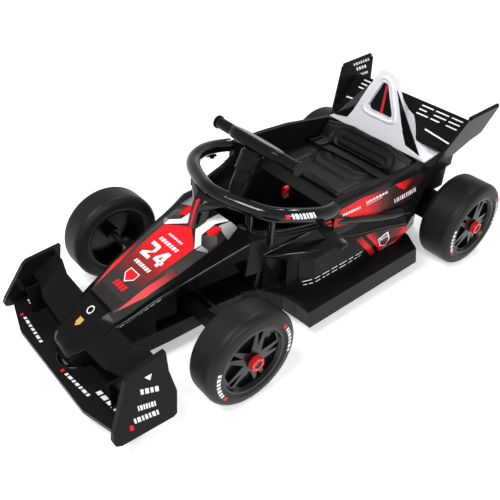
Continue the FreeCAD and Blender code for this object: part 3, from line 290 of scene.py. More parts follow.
body_black = plastic("body_black", (0.0065, 0.0065, 0.0068), 0.19, grain_depth=0.015, shine=0.085)
# The hood's plastic is the body's with a darker colour and less shine: the darker colour is
# painted shade for the deep recesses in its sides.
hood_black_painted_shade = plastic("hood_black_painted_shade", (0.003, 0.003, 0.0032), 0.17, grain_depth=0.01, shine=0.028)
skirt_black = plastic("skirt_black", (0.005, 0.005, 0.0053), 0.2, grain_depth=0.015, shine=0.055)
gloss_black = plastic("gloss_black", (0.004, 0.004, 0.0045), 0.1, grain_depth=0.0,
                      unevenness=0.05, shine=0.35)
dull_black = plastic("dull_black", (0.0035, 0.0035, 0.0036), 0.42, grain_depth=0.05, shine=0.1)
# painted shade: a near black, dull plastic laid in the pod inlets, darker than the real moulding,
# for the shade deep inside them
painted_shade_black = plastic("painted_shade_black", (0.0012, 0.0012, 0.0012), 0.6, grain_depth=0.0, shine=0.03)
tyre_black = plastic("tyre_black", (0.01, 0.01, 0.0105), 0.44, grain_size=0.0009,
                     grain_depth=0.08, unevenness=0.2)
rim_black = plastic("rim_black", (0.005, 0.005, 0.0055), 0.2, grain_depth=0.0, shine=0.3)
red_plastic = plastic("red_plastic", (0.62, 0.012, 0.016), 0.3, grain_depth=0.0, shine=0.4)
white_plastic = plastic("white_plastic", (0.8, 0.81, 0.84), 0.3, grain_depth=0.01,
                        worn=(0.6, 0.6, 0.62), shine=0.4)
print("plastics:", [m.name for m in bpy.data.materials if m.name.endswith(("black", "plastic"))])

# %% [markdown]
# Axles, knuckles and the tie rod are plain steel under a thin dark coating. Brushed metal shows
# fine streaks in one direction, which stretched noise gives.

# %% Steel
steel, tree, shader = new_material("dark_steel")
stretch = add_node(tree, "Mapping", {"Vector": place_of(tree), "Scale": (40, 900, 900)})
streaks = noise(tree, stretch.outputs["Vector"], scale=1)
feed(tree, shader, {"Base Color": (0.16, 0.16, 0.165, 1), "Metallic": 1.0,
                    "Roughness": ranged(tree, streaks, to_min=0.28, to_max=0.5),
                    "Normal": bumped(tree, streaks, 0.05, 0.0005)})
print("steel:", steel.name)

# %% Finish of each CAD solid
FINISHES = {
    tyre_black: ("tyre_",),
    rim_black: ("rim_",),
    red_plastic: ("hub_nut_", "start_switch"),
    steel: ("knuckle_", "tie_rod", "rear_axle"),
    dull_black: ("front_axle_beam", "steering_column", "gearbox_", "chassis_tub", "hoop_mesh",
                 "seat_base"),
    # the hood gets the darker copy of the body plastic, its extra darkness painted shade
    hood_black_painted_shade: ("hood",),
    skirt_black: ("skirt_",),
    white_plastic: ("roll_hoop",),
    gloss_black: ("hoop_panel_", "halo"),
}
for name, node in nodes.items():
    node.data.materials.clear()
    node.data.materials.append(next(
        (material for material, starts in FINISHES.items() if name.startswith(starts)),
        body_black))
print("finished", len(nodes), "solids")

# %% [markdown]
# The graphics on the real car are printed sheets, stuck on flat and curved panels. Each one is
# modelled as a skin: a copy of the panel's own surface, cut to the sheet's outline by straight
# bisects and lifted by less than a millimetre. It follows the panel exactly, so no sheet floats
# or sinks. The outlines are lists of corners in millimetres, seen from above or from the side.

# %% Skins of a panel
SEEN_AXES = {"Z": (0, 1), "Y": (0, 2), "X": (1, 2)}


def only(piece):
    """Make one piece the selected and active object."""
    bpy.ops.object.select_all(action="DESELECT")
    piece.select_set(True)
    bpy.context.view_layer.objects.active = piece


@contextlib.contextmanager
def editing(piece, everything=True):
    """Edit mode on one piece, with all of it selected or with the selection that it has."""
    only(piece)
    bpy.ops.object.mode_set(mode="EDIT")
    if everything:
        bpy.ops.mesh.select_all(action="SELECT")
    yield
    bpy.ops.object.mode_set(mode="OBJECT")


def copied(node_name, name):
    """A linked copy of a solid, with a mesh of its own."""
    piece = bpy.data.objects.new(name, nodes[node_name].data.copy())
    bpy.context.scene.collection.objects.link(piece)
    return piece


def merged(pieces):
    """Several pieces joined into the first."""
    only(pieces[0])
    for piece in pieces:
        piece.select_set(True)
    if len(pieces) > 1:
        bpy.ops.object.join()
    return bpy.context.view_layer.objects.active


def panel_skin(node_name, direction, least, half):
    """A merged copy of the faces of a solid that look one way, on one half of the car or both."""
    piece = copied(node_name, "skin_" + node_name)
    mesh = bmesh.new()
    mesh.from_mesh(piece.data)
    bmesh.ops.remove_doubles(mesh, verts=mesh.verts, dist=1e-6)
    turned_away = [
        face for face in mesh.faces
        if face.normal.dot(direction) < least or face.calc_center_median().y * half < 0
    ]
    bmesh.ops.delete(mesh, geom=turned_away, context="FACES")
    mesh.to_mesh(piece.data)
    mesh.free()
    return piece


def cut_sheet(skin, corners, direction, name):
    """The part of a skin inside a convex outline of corners in millimetres."""
    piece = bpy.data.objects.new(name, skin.data.copy())
    bpy.context.scene.collection.objects.link(piece)
    axis = max("XYZ", key=lambda letter: abs(getattr(direction, letter.lower())))
    first, second = SEEN_AXES[axis]
    points = []
    for across, up in corners:
        point = Vector()
        point[first], point[second] = across * MM, up * MM
        points.append(point)
    middle = sum(points, Vector()) / len(points)
    with editing(piece):
        for here, following in zip(points, points[1:] + points[:1]):
            outwards = (following - here).cross(direction).normalized()
            if outwards.dot(here - middle) < 0:
                outwards.negate()
            bpy.ops.mesh.select_all(action="SELECT")
            bpy.ops.mesh.bisect(plane_co=here, plane_no=outwards, clear_outer=True)
    return piece


def sheets(name, node_name, direction, rows, lift, least=0.3, half=0, body="chassis"):
    """Several flat sheets on one solid, each a (material, corners) row, lifted in millimetres."""
    skin = panel_skin(node_name, direction, least, half)
    pieces = []
    for number, (material, corners) in enumerate(rows):
        sheet = cut_sheet(skin, corners, direction, f"{name}_{number}")
        sheet.data.materials.clear()
        sheet.data.materials.append(material)
        if len(sheet.data.polygons):
            pieces.append(sheet)
        else:
            print("empty:", sheet.name)
            bpy.data.objects.remove(sheet)
    bpy.data.objects.remove(skin)
    whole = merged(pieces)
    whole.name = name
    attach(whole, body)
    with editing(whole):
        bpy.ops.transform.shrink_fatten(value=lift * MM)
    bpy.ops.object.shade_smooth_by_angle(angle=math.radians(30))
    return whole


# %% [markdown]
# Printed vinyl has a smoother shine than the moulding under it. Its colours run into each other:
# red darkens to warm grey along the nose and to black along the rail. One function makes such a
# print from a short list of colours along a line on the car.

# %% Printed vinyl


def printed(name, start, end, *colours):
    """Vinyl whose colour changes between two points in millimetres, by (share, colour) stops."""
    material, tree, shader = new_material(name)
    place = place_of(tree)
    start, end = Vector(start) * MM, Vector(end) * MM
    line = end - start
    distance = add_node(tree, "VectorMath", {0: place, 1: start}, operation="SUBTRACT")
    share = add_node(tree, "VectorMath",
                     {0: distance.outputs["Vector"], 1: line / line.length_squared},
                     operation="DOT_PRODUCT")
    ramp = add_node(tree, "ValToRGB", {"Fac": share.outputs["Value"]})
    stops = ramp.color_ramp.elements
    while len(stops) < len(colours):
        stops.new(0.5)
    for stop, (position, colour) in zip(stops, colours):
        stop.position = position
        stop.color = (*colour, 1)
    speckle = ranged(tree, noise(tree, place, scale=900), to_min=0.9, to_max=1.1)
    ink = add_node(tree, "VectorMath", {0: ramp.outputs["Color"], "Scale": speckle},
                   operation="SCALE")
    feed(tree, shader, {"Base Color": ink.outputs["Vector"],
                        "Roughness": grained(tree, 0.3, 0.002, 0.1)["Roughness"],
                        "Specular IOR Level": 0.12})
    return material


def one_ink(name, colour):
    """Vinyl of one colour."""
    return printed(name, (0, 0, 0), (100, 0, 0), (0.0, colour), (1.0, colour))


RED, DARK_RED = (0.74, 0.012, 0.018), (0.16, 0.008, 0.01)
WARM_GREY, PALE_GREY = (0.035, 0.03, 0.028), (0.36, 0.36, 0.38)
NEAR_BLACK = (0.01, 0.0095, 0.0095)
white_print = one_ink("white_print", (0.82, 0.82, 0.84))
plain_red = one_ink("plain_red_print", RED)
gold_print = one_ink("gold_print", (0.55, 0.34, 0.07))
hood_red = printed("hood_red_print", (240, 0, 0), (458, 0, 0), (0.0, RED), (0.32, RED),
                   (0.62, (0.2, 0.02, 0.02)), (0.85, WARM_GREY))
sliver_red = printed("sliver_red_print", (478, 0, 0), (330, 0, 0), (0.0, RED), (0.45, RED),
                     (1.0, (0.05, 0.008, 0.008)))
hood_grey = printed("hood_grey_print", (486, 0, 0), (200, 0, 0), (0.0, (0.02, 0.017, 0.016)),
                    (0.5, WARM_GREY), (1.0, NEAR_BLACK))
pale_fade, pale_fade_right = (
    printed(name, (0, 58 * sign, 0), (0, 100 * sign, 0), (0.0, PALE_GREY), (1.0, (0.03,) * 3))
    for name, sign in (("pale_fade_print", 1), ("pale_fade_right_print", -1)))
red_facet, red_facet_right = (
    printed(name, (0, 40 * sign, 0), (0, 71 * sign, 0), (0.0, RED), (0.5, RED),
            (1.0, (0.14, 0.006, 0.008)))
    for name, sign in (("red_facet_print", 1), ("red_facet_right_print", -1)))
dark_facet = printed("dark_facet_print", (215, 0, 0), (256, 0, 0), (0.0, (0.09, 0.075, 0.07)),
                     (1.0, NEAR_BLACK))
print("prints:", [m.name for m in bpy.data.materials if m.name.endswith("print")])

# %% [markdown]
# The hood carries the largest print: a long red hexagon that fades forward into warm grey, a
# white fork behind it and a few facets of red and grey. An outline that lies across the middle
# of the car is written as its left half, and one beside it is laid once on each side.

# %% Hood sheets


def both_halves(left):
    """The left half of an outline and its mirror image, as one line of corners."""
    return left + [(x, -y) for x, y in reversed(left)]


def other_side(rows):
    """The same outlines seen from above, on the other half of the car."""
    return [(material, [(x, -y) for x, y in corners]) for material, corners in rows]


HOOD_HEXAGON = both_halves([(240, 8), (272, 61), (458, 47)])
HOOD_BASE = both_halves([(486, 50), (415, 74), (330, 84), (225, 90), (165, 84)])
FORK = [
    [(166.6, 17.3), (165.6, 55), (193, 38.9), (227.3, 6.9)],
    [(193, 38.9), (236, 41.3), (227.3, 6.9)],
    [(236, 41.3), (255, 64.3), (271.8, 62.2), (227.3, 6.9)],
]
RED_FACET = [(221.7, 39.4), (198, 43.1), (191.4, 61.2), (210.6, 70.7), (228.4, 55.9)]
DARK_FACET = [(237.3, 44.5), (229.5, 49.6), (213.9, 71.1), (225.2, 85.7), (249.4, 83.3),
              (254.7, 67.6)]
PALE_FACETS = [
    [(199, 71), (192, 50), (165, 58), (165, 86), (200, 95)],
    [(271, 66), (255, 66), (250, 84), (254, 88)],
]
SLIVER = [(478, 52), (415, 72), (330, 82), (330, 70), (401, 57)]

fork = [(white_print, corners) for corners in FORK]
pale = [(pale_fade, corners) for corners in PALE_FACETS]
pale_right = [(pale_fade_right, corners) for corners in PALE_FACETS]
for name, rows, lift in (
        ("hood_base_sheet", [(hood_grey, HOOD_BASE)], 0.2),
        ("hood_hexagon", [(hood_red, HOOD_HEXAGON)], 0.4),
        ("hood_facets_pale", pale + other_side(pale_right), 0.35),
        ("hood_fork", fork + other_side(fork), 0.5),
        ("hood_facets", [(red_facet, RED_FACET), (dark_facet, DARK_FACET)]
         + other_side([(red_facet_right, RED_FACET), (dark_facet, DARK_FACET)]), 0.65),
        ("hood_slivers", [(sliver_red, SLIVER)] + other_side([(sliver_red, SLIVER)]), 0.4)):
    sheets(name, "hood", ABOVE, rows, lift)
print("hood sheets laid")

# %% [markdown]
# The car has a plain two-figure number. Each digit is drawn with a few straight strokes in a
# square from nought to one, which are then laid on the hood like the other sheets. Words are
# rows of slanted dashes, with filled and empty widths by turns.

# %% Number, words and shields on the hood
STROKES = {
    "2": [
        [(0, 1), (0.9, 1), (1, 0.9), (1, 0.78), (0, 0.78)],
        [(0.7, 0.8), (1, 0.8), (1, 0.55), (0.7, 0.5)],
        [(1, 0.56), (0.7, 0.5), (0, 0.2), (0.4, 0.2)],
        [(0, 0), (1, 0), (1, 0.22), (0, 0.22)],
    ],
    "4": [
        [(0.5, 1), (0.82, 1), (0.3, 0.4), (0, 0.38)],
        [(0, 0.2), (1, 0.2), (1, 0.4), (0, 0.4)],
        [(0.56, 0), (0.84, 0), (0.84, 1), (0.56, 1)],
    ],
}
DIGIT_FOOT, DIGIT_TOP = 358, 316


def digit(figure, left_y, width):
    """The strokes of a digit on the hood."""
    return [
        (white_print, [(DIGIT_FOOT + (DIGIT_TOP - DIGIT_FOOT) * up, left_y + width * right)
                       for right, up in stroke])
        for stroke in STROKES[figure]
    ]


def dashes(start, end, height, widths, material=white_print, slant=0.25):
    """Slanted dashes along a line, standing to its left; widths are filled and empty by turns."""
    begin, finish = Vector(start), Vector(end)
    run = finish - begin
    up = Vector((-run.y, run.x)).normalized() * height
    lean = run.normalized() * height * slant
    total = sum(widths)
    rows = []
    place = 0.0
    for number, width in enumerate(widths):
        near, far = begin + run * (place / total), begin + run * ((place + width) / total)
        place += width
        if number % 2 == 0:
            corners = [near, far, far + up + lean, near + up + lean]
            rows.append((material, [tuple(corner) for corner in corners]))
    return rows


def words(*rows):
    """The dashes of several rows of white marks."""
    return [dash for row in rows for dash in dashes(*row)]


def ring_point(step, radius):
    """A corner of the nose ring."""
    angle = 2 * math.pi * step / RING_STEPS
    return RING_X + radius * math.cos(angle), radius * math.sin(angle)


WORD = (3, 2, 5, 2, 3, 2, 4, 2, 3, 2, 5, 2, 3)
SHORT_WORD = (4, 2, 5, 2, 4, 2, 5)
LONG_WORD = (10, 3, 7, 3, 10, 3, 8, 3, 10, 3, 7, 3, 10)
SPLIT_WORD = (4, 2, 4, 3, 7, 3, 4, 2, 4, 3, 8, 3, 10, 3, 7, 3, 4, 2, 4)
EVEN_WORD = (6, 2.4, 6, 2.4, 6, 2.4, 6, 2.4, 6, 2.4, 6, 2.4, 6)
LETTERS = (2.6, 4, 2.6, 2.2, 2.6, 3.4, 2.6, 2.6, 4.4, 2.6, 2.6, 3.6, 2.6, 2.2, 2.6, 3, 4.4, 2.6,
           2.6, 3.4, 2.6, 2.6, 2.6)
RING_STEPS, RING_X, RING_INNER, RING_OUTER = 16, 516, 7.0, 9.6

sheets("hood_number", "hood", ABOVE, digit("2", -38, 32) + digit("4", 4, 34), 0.6)
sheets("hood_dashes", "hood", ABOVE,
       words(((284, -26), (284, 26), 5, WORD), ((306, -34), (306, 34), 9, WORD),
             ((380, -30), (380, 28), 9, WORD),
             ((445, -20), (445, 20), 15, SHORT_WORD, plain_red)), 0.6)
for side, _, direction in SIDES:
    sheets(f"hood_side_dashes_{side}", "hood", direction,
           dashes((488, 152.5), (388, 190), -4.6, EVEN_WORD), 0.4, least=0.5)
sheets("hood_shield", "hood", ABOVE,
       [(white_print, [(394, 18), (394, -18), (411, -19), (427, 0), (411, 19)])], 0.5)
sheets("hood_shield_field", "hood", ABOVE,
       [(plain_red, [(396, 16), (396, -16), (410, -17), (424, 0), (410, 17)])], 0.62)
sheets("nose_ring", "nose_tip", ABOVE,
       [(white_print, [ring_point(step, RING_INNER), ring_point(step + 1, RING_INNER),
                       ring_point(step + 1, RING_OUTER), ring_point(step, RING_OUTER)])
        for step in range(RING_STEPS)], 0.4)
sheets("nose_shield", "nose_tip", ABOVE,
       [(gold_print, [(538, -8), (538, 8), (550, 8), (559, 0), (550, -8)])], 0.4)
print("hood number and dashes laid")

# %% [markdown]
# Along each side run a rail panel that fades from red to black, a strip under it, and a slanted
# stripe and a red block on the side pod. Both sides of the car are alike, so each outline is cut
# once from the left solid and once from the right.

# %% Side sheets
rail_print = printed("rail_print", (-20, 0, 0), (-421, 0, 0), (0.0, RED), (0.34, RED),
                     (0.49, (0.09, 0.01, 0.011)), (0.6, (0.026, 0.01, 0.01)),
                     (0.8, (0.04, 0.007, 0.008)), (1.0, NEAR_BLACK))
patch_print = printed("patch_print", (-262, 0, 296), (-345, 0, 272), (0.0, RED), (0.42, RED),
                      (1.0, (0.05, 0.006, 0.007)))
strip_print = printed("strip_print", (-11, 0, 0), (-150, 0, 0), (0.0, RED), (0.5, DARK_RED),
                      (1.0, (0.03, 0.008, 0.008)))
stripe_print = printed("stripe_print", (-125, 0, 195), (-205, 0, 100), (0.0, DARK_RED),
                       (0.35, RED), (1.0, DARK_RED))
pod_print = printed("pod_print", (-320, 0, 0), (-190, 0, 0), (0.0, RED), (0.22, RED),
                    (0.4, DARK_RED), (0.6, (0.06, 0.014, 0.015)), (1.0, (0.02, 0.007, 0.008)))
edge_print = printed("edge_print", (-153, 0, 195), (-174, 0, 216), (0.0, RED),
                     (0.45, DARK_RED), (1.0, (0.02, 0.007, 0.008)))
shield_dark = printed("shield_dark", (-195, 0, 0), (-245, 0, 0), (0.0, (0.03, 0.02, 0.02)),
                      (1.0, (0.12, 0.02, 0.022)))
RAIL_PANEL = [(-40, 302), (-126, 308), (-260, 296), (-363, 283), (-421, 275), (-314, 217),
              (-137, 244)]
RAIL_STRIP = [(-11, 269), (-24, 277), (-48, 284), (-137, 243), (-70, 254)]
RAIL_PATCH = [(-262, 295), (-358, 281), (-307, 263)]
POD_STRIPE = [(-120, 193), (-138, 195), (-221, 97), (-196, 103)]
POD_EDGE = [(-153, 195), (-182, 196), (-264, 97), (-236, 97)]
POD_BLOCK = [(-182, 196), (-233, 190), (-268, 183), (-318, 165), (-319, 97), (-264, 97)]
POD_SHIELD = [(-197, 166), (-228, 181), (-239, 157), (-242, 122), (-211, 136)]
SHIELD_CORE = [(-201, 162.5), (-225.5, 174.5), (-235, 155.5), (-238, 128), (-213, 139.5)]
RAIL_SHEETS = (
    ("rail_sheet", [(rail_print, RAIL_PANEL), (strip_print, RAIL_STRIP)], 0.3),
    ("rail_patch", [(patch_print, RAIL_PATCH)] + words(
        ((-69, 281), (-132, 279), -7, SPLIT_WORD), ((-152, 284), (-234, 283), -7, SPLIT_WORD),
        ((-152, 279.5), (-214, 278.5), -1.3, (1,)), ((-267, 241), (-363, 238), -12.5, LETTERS)),
     0.5),
)
POD_SHEETS = (
    ("pod_sheet", [(stripe_print, POD_STRIPE), (edge_print, POD_EDGE), (pod_print, POD_BLOCK)],
     0.3),
    ("pod_dashes", words(((50, 134), (-143, 149), -2.4, LONG_WORD),
                         ((46, 123), (-140, 138), -2.4, SPLIT_WORD))
     + [(white_print, POD_SHIELD)] + dashes((-240, 108), (-296, 112), -4, SPLIT_WORD), 0.5),
    ("pod_shield_core", [(shield_dark, SHIELD_CORE)], 0.7),
    ("pod_shield_word", dashes((-206, 158), (-230, 163), -5, WORD), 0.9),
)
for side, sign, direction in SIDES:
    for name, rows, lift in RAIL_SHEETS:
        sheets(f"{name}_{side}", "cockpit_surround", direction, rows, lift, 0.55, sign)
    for name, rows, lift in POD_SHEETS:
        sheets(f"{name}_{side}", f"sidepod_{side}", direction, rows, lift, 0.4)
    print("side sheets laid:", side)

# %% [markdown]
# The end plates and both wings carry rows of small white marks. They are printed straight on the
# black plastic, so each mark is only a sliver of white vinyl.

# %% Wing marks
REAR_STROKES = ((-552, (40, 9, 44, 9, 36)), (-541, (26, 24, 40, 9, 36)),
                (-530, (40, 9, 30, 22, 36)))
REAR_LINE = [(-504, 100), (-495, 190), (-491, 190), (-500, 100)]

for side, _, direction in SIDES:
    sheets(f"front_plate_marks_{side}", f"front_endplate_{side}", direction,
           [(white_print, [(530, 166), (512, 166), (519, 153)])]
           + words(((546, 133), (506, 119), -12, SHORT_WORD), ((560, 101), (520, 90), -12, WORD),
                   ((574, 78), (518, 67), -12, WORD))
           + [(plain_red, [(588, 68), (579, 66), (579, 78), (586, 80)])], 0.3)
sheets("wing_plane_marks", "front_wing_plane", ABOVE,
       words(((618, 38), (609, 126), 7, WORD), ((590, 127), (584, 196), 11, SHORT_WORD),
             ((611, -187), (617, -84), 7, WORD), ((576, -240), (578, -196), 11, SHORT_WORD))
       + [(plain_red, [(620, 22), (612, 22), (612, 30), (620, 30)]),
          (plain_red, [(612, -203), (604, -203), (606, -195), (614, -195)])], 0.3)
for side, _, direction in SIDES:
    sheets(f"rear_plate_marks_{side}", f"rear_endplate_{side}", -direction,
           words(((-545, 408), (-615, 410), -7, WORD), ((-556, 392), (-600, 392), -9, SHORT_WORD),
                 ((-560, 374), (-606, 374), -7, WORD)), 0.3)
rear_rows = [dash for ahead, widths in REAR_STROKES for sign in (1, -1)
             for dash in dashes((ahead, 42 * sign), (ahead, 180 * sign), 3 * sign, widths)]
rear_rows += [(white_print, [(x, sign * y) for x, y in REAR_LINE][::sign]) for sign in (1, -1)]
sheets("rear_plane_marks", "rear_wing_plane", ABOVE, rear_rows, 0.3)
print("wing marks laid")

# %% [markdown]
# The seat is a foam pad under black imitation leather: a broad seat cushion with three raised
# horseshoe ribs, and a back cushion with oval ribs. Each cushion starts as its solid's own shape,
# a little smaller, and a short cloth simulation with air pressure inside swells it, as foam
# stretches its cover. The swelling is capped, and the ribs and seams are pressed in afterwards.

# %% Leather


def leather():
    """Black imitation leather: fine pebbled grain with creases that catch the light."""
    material, tree, shader = new_material("seat_leather")
    place = place_of(tree)
    pebbles = add_node(tree, "TexVoronoi", {"Vector": place, "Scale": 620}).outputs["Distance"]
    folds = noise(tree, place, scale=26, detail=5)
    height = math_node(tree, "ADD", math_node(tree, "MULTIPLY", pebbles, 0.5), folds)
    feed(tree, shader, {
        "Base Color": mixed(tree, folds, (0.0035, 0.0035, 0.0037), (0.008, 0.008, 0.0084)),
        "Roughness": grained(tree, 0.42, 0.002, 0.2)["Roughness"],
        "Normal": bumped(tree, height, 0.22, 0.0012),
        "Specular IOR Level": 0.17})
    return material


seat_leather = leather()
print("leather:", seat_leather.name)

# %% Swelling a cushion
VOXEL = 0.005
SWELL_FRAMES, PRESSURE, STIFFNESS, BENDING = 20, 4.0, 30, 4
DRAWN_IN, SWELL_CAP = 2.0, 6.0


def modified(piece, kind, **settings):
    """Give a piece a modifier with these settings and apply it."""
    only(piece)
    modifier = piece.modifiers.new(kind.lower(), kind)
    for setting, value in settings.items():
        setattr(modifier, setting, value)
    bpy.ops.object.modifier_apply(modifier=modifier.name)


def pad_blank(node_name):
    """A remeshed copy of a cushion's solid, drawn in a little."""
    piece = copied(node_name, node_name + "_pad")
    with editing(piece):
        bpy.ops.mesh.remove_doubles(threshold=1e-6)
        bpy.ops.transform.shrink_fatten(value=-DRAWN_IN * MM)
    modified(piece, "REMESH", mode="VOXEL", voxel_size=VOXEL)
    return piece


def swell(piece):
    """Blow up a pad with cloth pressure, no point moving past the cap."""
    before = [vertex.co.copy() for vertex in piece.data.vertices]
    only(piece)
    cloth = piece.modifiers.new("cloth", "CLOTH")
    cloth.settings.use_pressure = True
    cloth.settings.uniform_pressure_force = PRESSURE
    cloth.settings.effector_weights.gravity = 0
    cloth.settings.tension_stiffness = cloth.settings.compression_stiffness = STIFFNESS
    cloth.settings.bending_stiffness = BENDING
    cloth.point_cache.frame_start = 1
    cloth.point_cache.frame_end = SWELL_FRAMES
    for number in range(1, SWELL_FRAMES + 1):
        bpy.context.scene.frame_set(number)
    bpy.ops.object.modifier_apply(modifier=cloth.name)
    bpy.context.scene.frame_set(1)
    for vertex, start in zip(piece.data.vertices, before):
        move = vertex.co - start
        if move.length > SWELL_CAP * MM:
            vertex.co = start + move.normalized() * SWELL_CAP * MM
    modified(piece, "SUBSURF", levels=1, render_levels=1)
    bpy.ops.object.shade_smooth()


seat_low, seat_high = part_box("seat_cushion")
cushion = pad_blank("seat_cushion")
swell(cushion)
back_pad = pad_blank("back_cushion")
swell(back_pad)
print("cushions swollen:", len(cushion.data.vertices), len(back_pad.data.vertices))

# %% [markdown]
# The ribs follow lines drawn on the cushions, so a point's distance to the nearest line decides
# how far it sinks. Three nested horseshoes, open to the back, press into the seat, and its
# centre panel is sewn along the sides and the front. The back cushion first rises towards the
# middle of its top, then gets two ovals and a sewn border.

# %% Ribs and seams
RIB_WIDTH, RIB_DEPTH = 8.5, 4.4
SEAM_WIDTH, SEAM_DEPTH = 4.6, 1.8
HORSESHOES = [both_halves(left) for left in (
    [(-336, 104), (-272, 97), (-247, 82), (-231, 58)],
    [(-338, 101), (-318, 96), (-283, 77), (-269, 54)],
    [(-342, 85), (-324, 70), (-307, 56), (-298, 38)])]
PANEL_SEAM = both_halves([(-252, 97), (-190, 95), (-169, 101)])
BORDER_SEAM = [(-166, 288), (-150, 296), (-104, 303), (-67, 313), (-27, 318), (27, 318), (67, 313),
               (104, 303), (150, 296), (166, 288)]
BACK_OVALS, BACK_OVAL_HEIGHT, OVAL_WIDTH = ((84, 27), (80, 8)), 275, 6.5
BACK_RISE, BACK_LIMIT = 19.0, -404.0
RISE_BACK, RISE_UP, RISE_TOP, RISE_SIDES = 0.55, 0.84, 304, (55, 165)
BACK_FACE_X, BACK_FACE_Z, BACK_SLOPE = -352, 262, 0.8
BACK_LOOK = Vector((0.77, 0, 0.64))


def groove(distance, width):
    """One at the middle of a groove, falling smoothly to nought at its width."""
    share = min(abs(distance) / width, 1.0)
    return (1 - share * share) ** 2


def smooth_step(value, low, high):
    """Nought below low, one above high and a smooth rise between."""
    share = min(max((value - low) / (high - low), 0.0), 1.0)
    return share * share * (3 - 2 * share)


def to_line(point, corners):
    """Distance from a point to the nearest stretch of a line of corners."""
    nearest = math.inf
    for start, end in zip(corners, corners[1:]):
        run = (end[0] - start[0], end[1] - start[1])
        way = (point[0] - start[0], point[1] - start[1])
        share = (run[0] * way[0] + run[1] * way[1]) / (run[0] ** 2 + run[1] ** 2)
        share = min(max(share, 0.0), 1.0)
        nearest = min(nearest, math.hypot(way[0] - run[0] * share, way[1] - run[1] * share))
    return nearest


for vertex in cushion.data.vertices:
    x, y, z = vertex.co / MM
    if z < (seat_low[2] + seat_high[2]) / 2 / MM:
        continue
    press = max(groove(to_line((x, y), line), RIB_WIDTH) for line in HORSESHOES)
    seam = groove(to_line((x, y), PANEL_SEAM), SEAM_WIDTH)
    vertex.co.z -= (RIB_DEPTH * press + SEAM_DEPTH * seam) * MM
for vertex in back_pad.data.vertices:
    x, y, z = vertex.co / MM
    rise = (BACK_RISE * (1 - smooth_step(abs(y), *RISE_SIDES))
            * smooth_step(z, BACK_FACE_Z, RISE_TOP))
    x, z = max(x - RISE_BACK * rise, BACK_LIMIT), z + RISE_UP * rise
    vertex.co.x, vertex.co.z = x * MM, z * MM
    if x + BACK_SLOPE * (z - BACK_FACE_Z) < BACK_FACE_X:
        continue
    press = 0.0
    for half_long, half_high in BACK_OVALS:
        lead = max(abs(y) - half_long, 0.0)
        reach = math.hypot(lead, z - BACK_OVAL_HEIGHT) - half_high
        press = max(press, groove(reach, OVAL_WIDTH))
    seam = groove(to_line((y, z), BORDER_SEAM), SEAM_WIDTH)
    sink = RIB_DEPTH * press + SEAM_DEPTH * seam
    vertex.co -= BACK_LOOK * sink * MM
for pad, node_name in ((cushion, "seat_cushion"), (back_pad, "back_cushion")):
    pad.data.materials.clear()
    pad.data.materials.append(seat_leather)
    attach(pad, "chassis")
    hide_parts(node_name)
    print(pad.name, [round(value * 1000) for value in pad.dimensions])

# %% [markdown]
# The seams are sewn with dark grey thread. Each stitch is a short six-sided rod, laid on the
# leather where a ray from above or from in front meets it, and all stitches of a cushion are
# one piece.

# %% Stitches
STITCH_PITCH, STITCH_LENGTH, STITCH_RADIUS = 4.6, 3.0, 0.42
RAY_START, RAY_LEAD = 300, 40
thread = plastic("seat_thread", (0.1, 0.1, 0.103), 0.6, grain_depth=0.0, shine=0.2)


def settle(piece):
    """Put a piece's place, turn and size into its mesh."""
    only(piece)
    bpy.ops.object.transform_apply(location=True, rotation=True, scale=True)


def finished(piece, name, material, angle, body="chassis"):
    """Name a piece, smooth it below an angle, give it a material and let it ride on a body."""
    piece.name = name
    only(piece)
    bpy.ops.object.shade_smooth_by_angle(angle=math.radians(angle))
    piece.data.materials.clear()
    piece.data.materials.append(material)
    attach(piece, body)
    return piece


def stitch_places(corners):
    """Middles and directions of the stitches along a line of corners."""
    for start, end in zip(corners, corners[1:]):
        run = Vector(end) - Vector(start)
        count = max(int(run.length / STITCH_PITCH), 1)
        for number in range(count):
            yield Vector(start) + run * ((number + 0.5) / count), run.normalized()


def sew(name, pad, lines, from_above):
    """Stitches along lines in the plan of the seat, or in the front view of its back."""
    pieces = []
    look = -ABOVE if from_above else -BACK_LOOK
    for middle, run in (spot for corners in lines for spot in stitch_places(corners)):
        if from_above:
            origin = Vector((middle.x, middle.y, RAY_START)) * MM
            heading = Vector((run.x, run.y, 0))
        else:
            ahead = BACK_FACE_X - BACK_SLOPE * (middle.y - BACK_FACE_Z)
            origin = (Vector((ahead, middle.x, middle.y)) - look * RAY_LEAD) * MM
            heading = Vector((-BACK_SLOPE * run.y, run.x, run.y)).normalized()
        found, place, facing, _ = pad.ray_cast(origin, look)
        if not found:
            continue
        heading = (heading - facing * heading.dot(facing)).normalized()
        bpy.ops.mesh.primitive_cylinder_add(
            vertices=6, radius=STITCH_RADIUS * MM, depth=STITCH_LENGTH * MM, location=place,
            rotation=heading.to_track_quat("Z", "Y").to_euler())
        pieces.append(bpy.context.object)
    row = merged(pieces)
    settle(row)
    finished(row, name, thread, 70)
    print(name, len(pieces), "stitches")


SEAT_STITCHES = [[(x, -96), (x, 96)] for x in (-164.5, -173.5)]
SEAT_STITCHES += [[(-250, sign * 94), (-192, sign * 92)] for sign in (1, -1)]
BACK_STITCHES = [[(y, z + above) for y, z in BORDER_SEAM] for above in (-5, 4.5)]
sew("seat_stitches", cushion, SEAT_STITCHES, True)
sew("back_stitches", back_pad, BACK_STITCHES, False)

# %% [markdown]
# The lap belt is black webbing across the back of the seat, with a flat plastic adjuster at the
# driver's right. Cloth simulation would wipe out such a thin strap, so it is modelled as a long
# strip, waved a little, given thickness by Solidify and softened by a bevel.

# %% Webbing


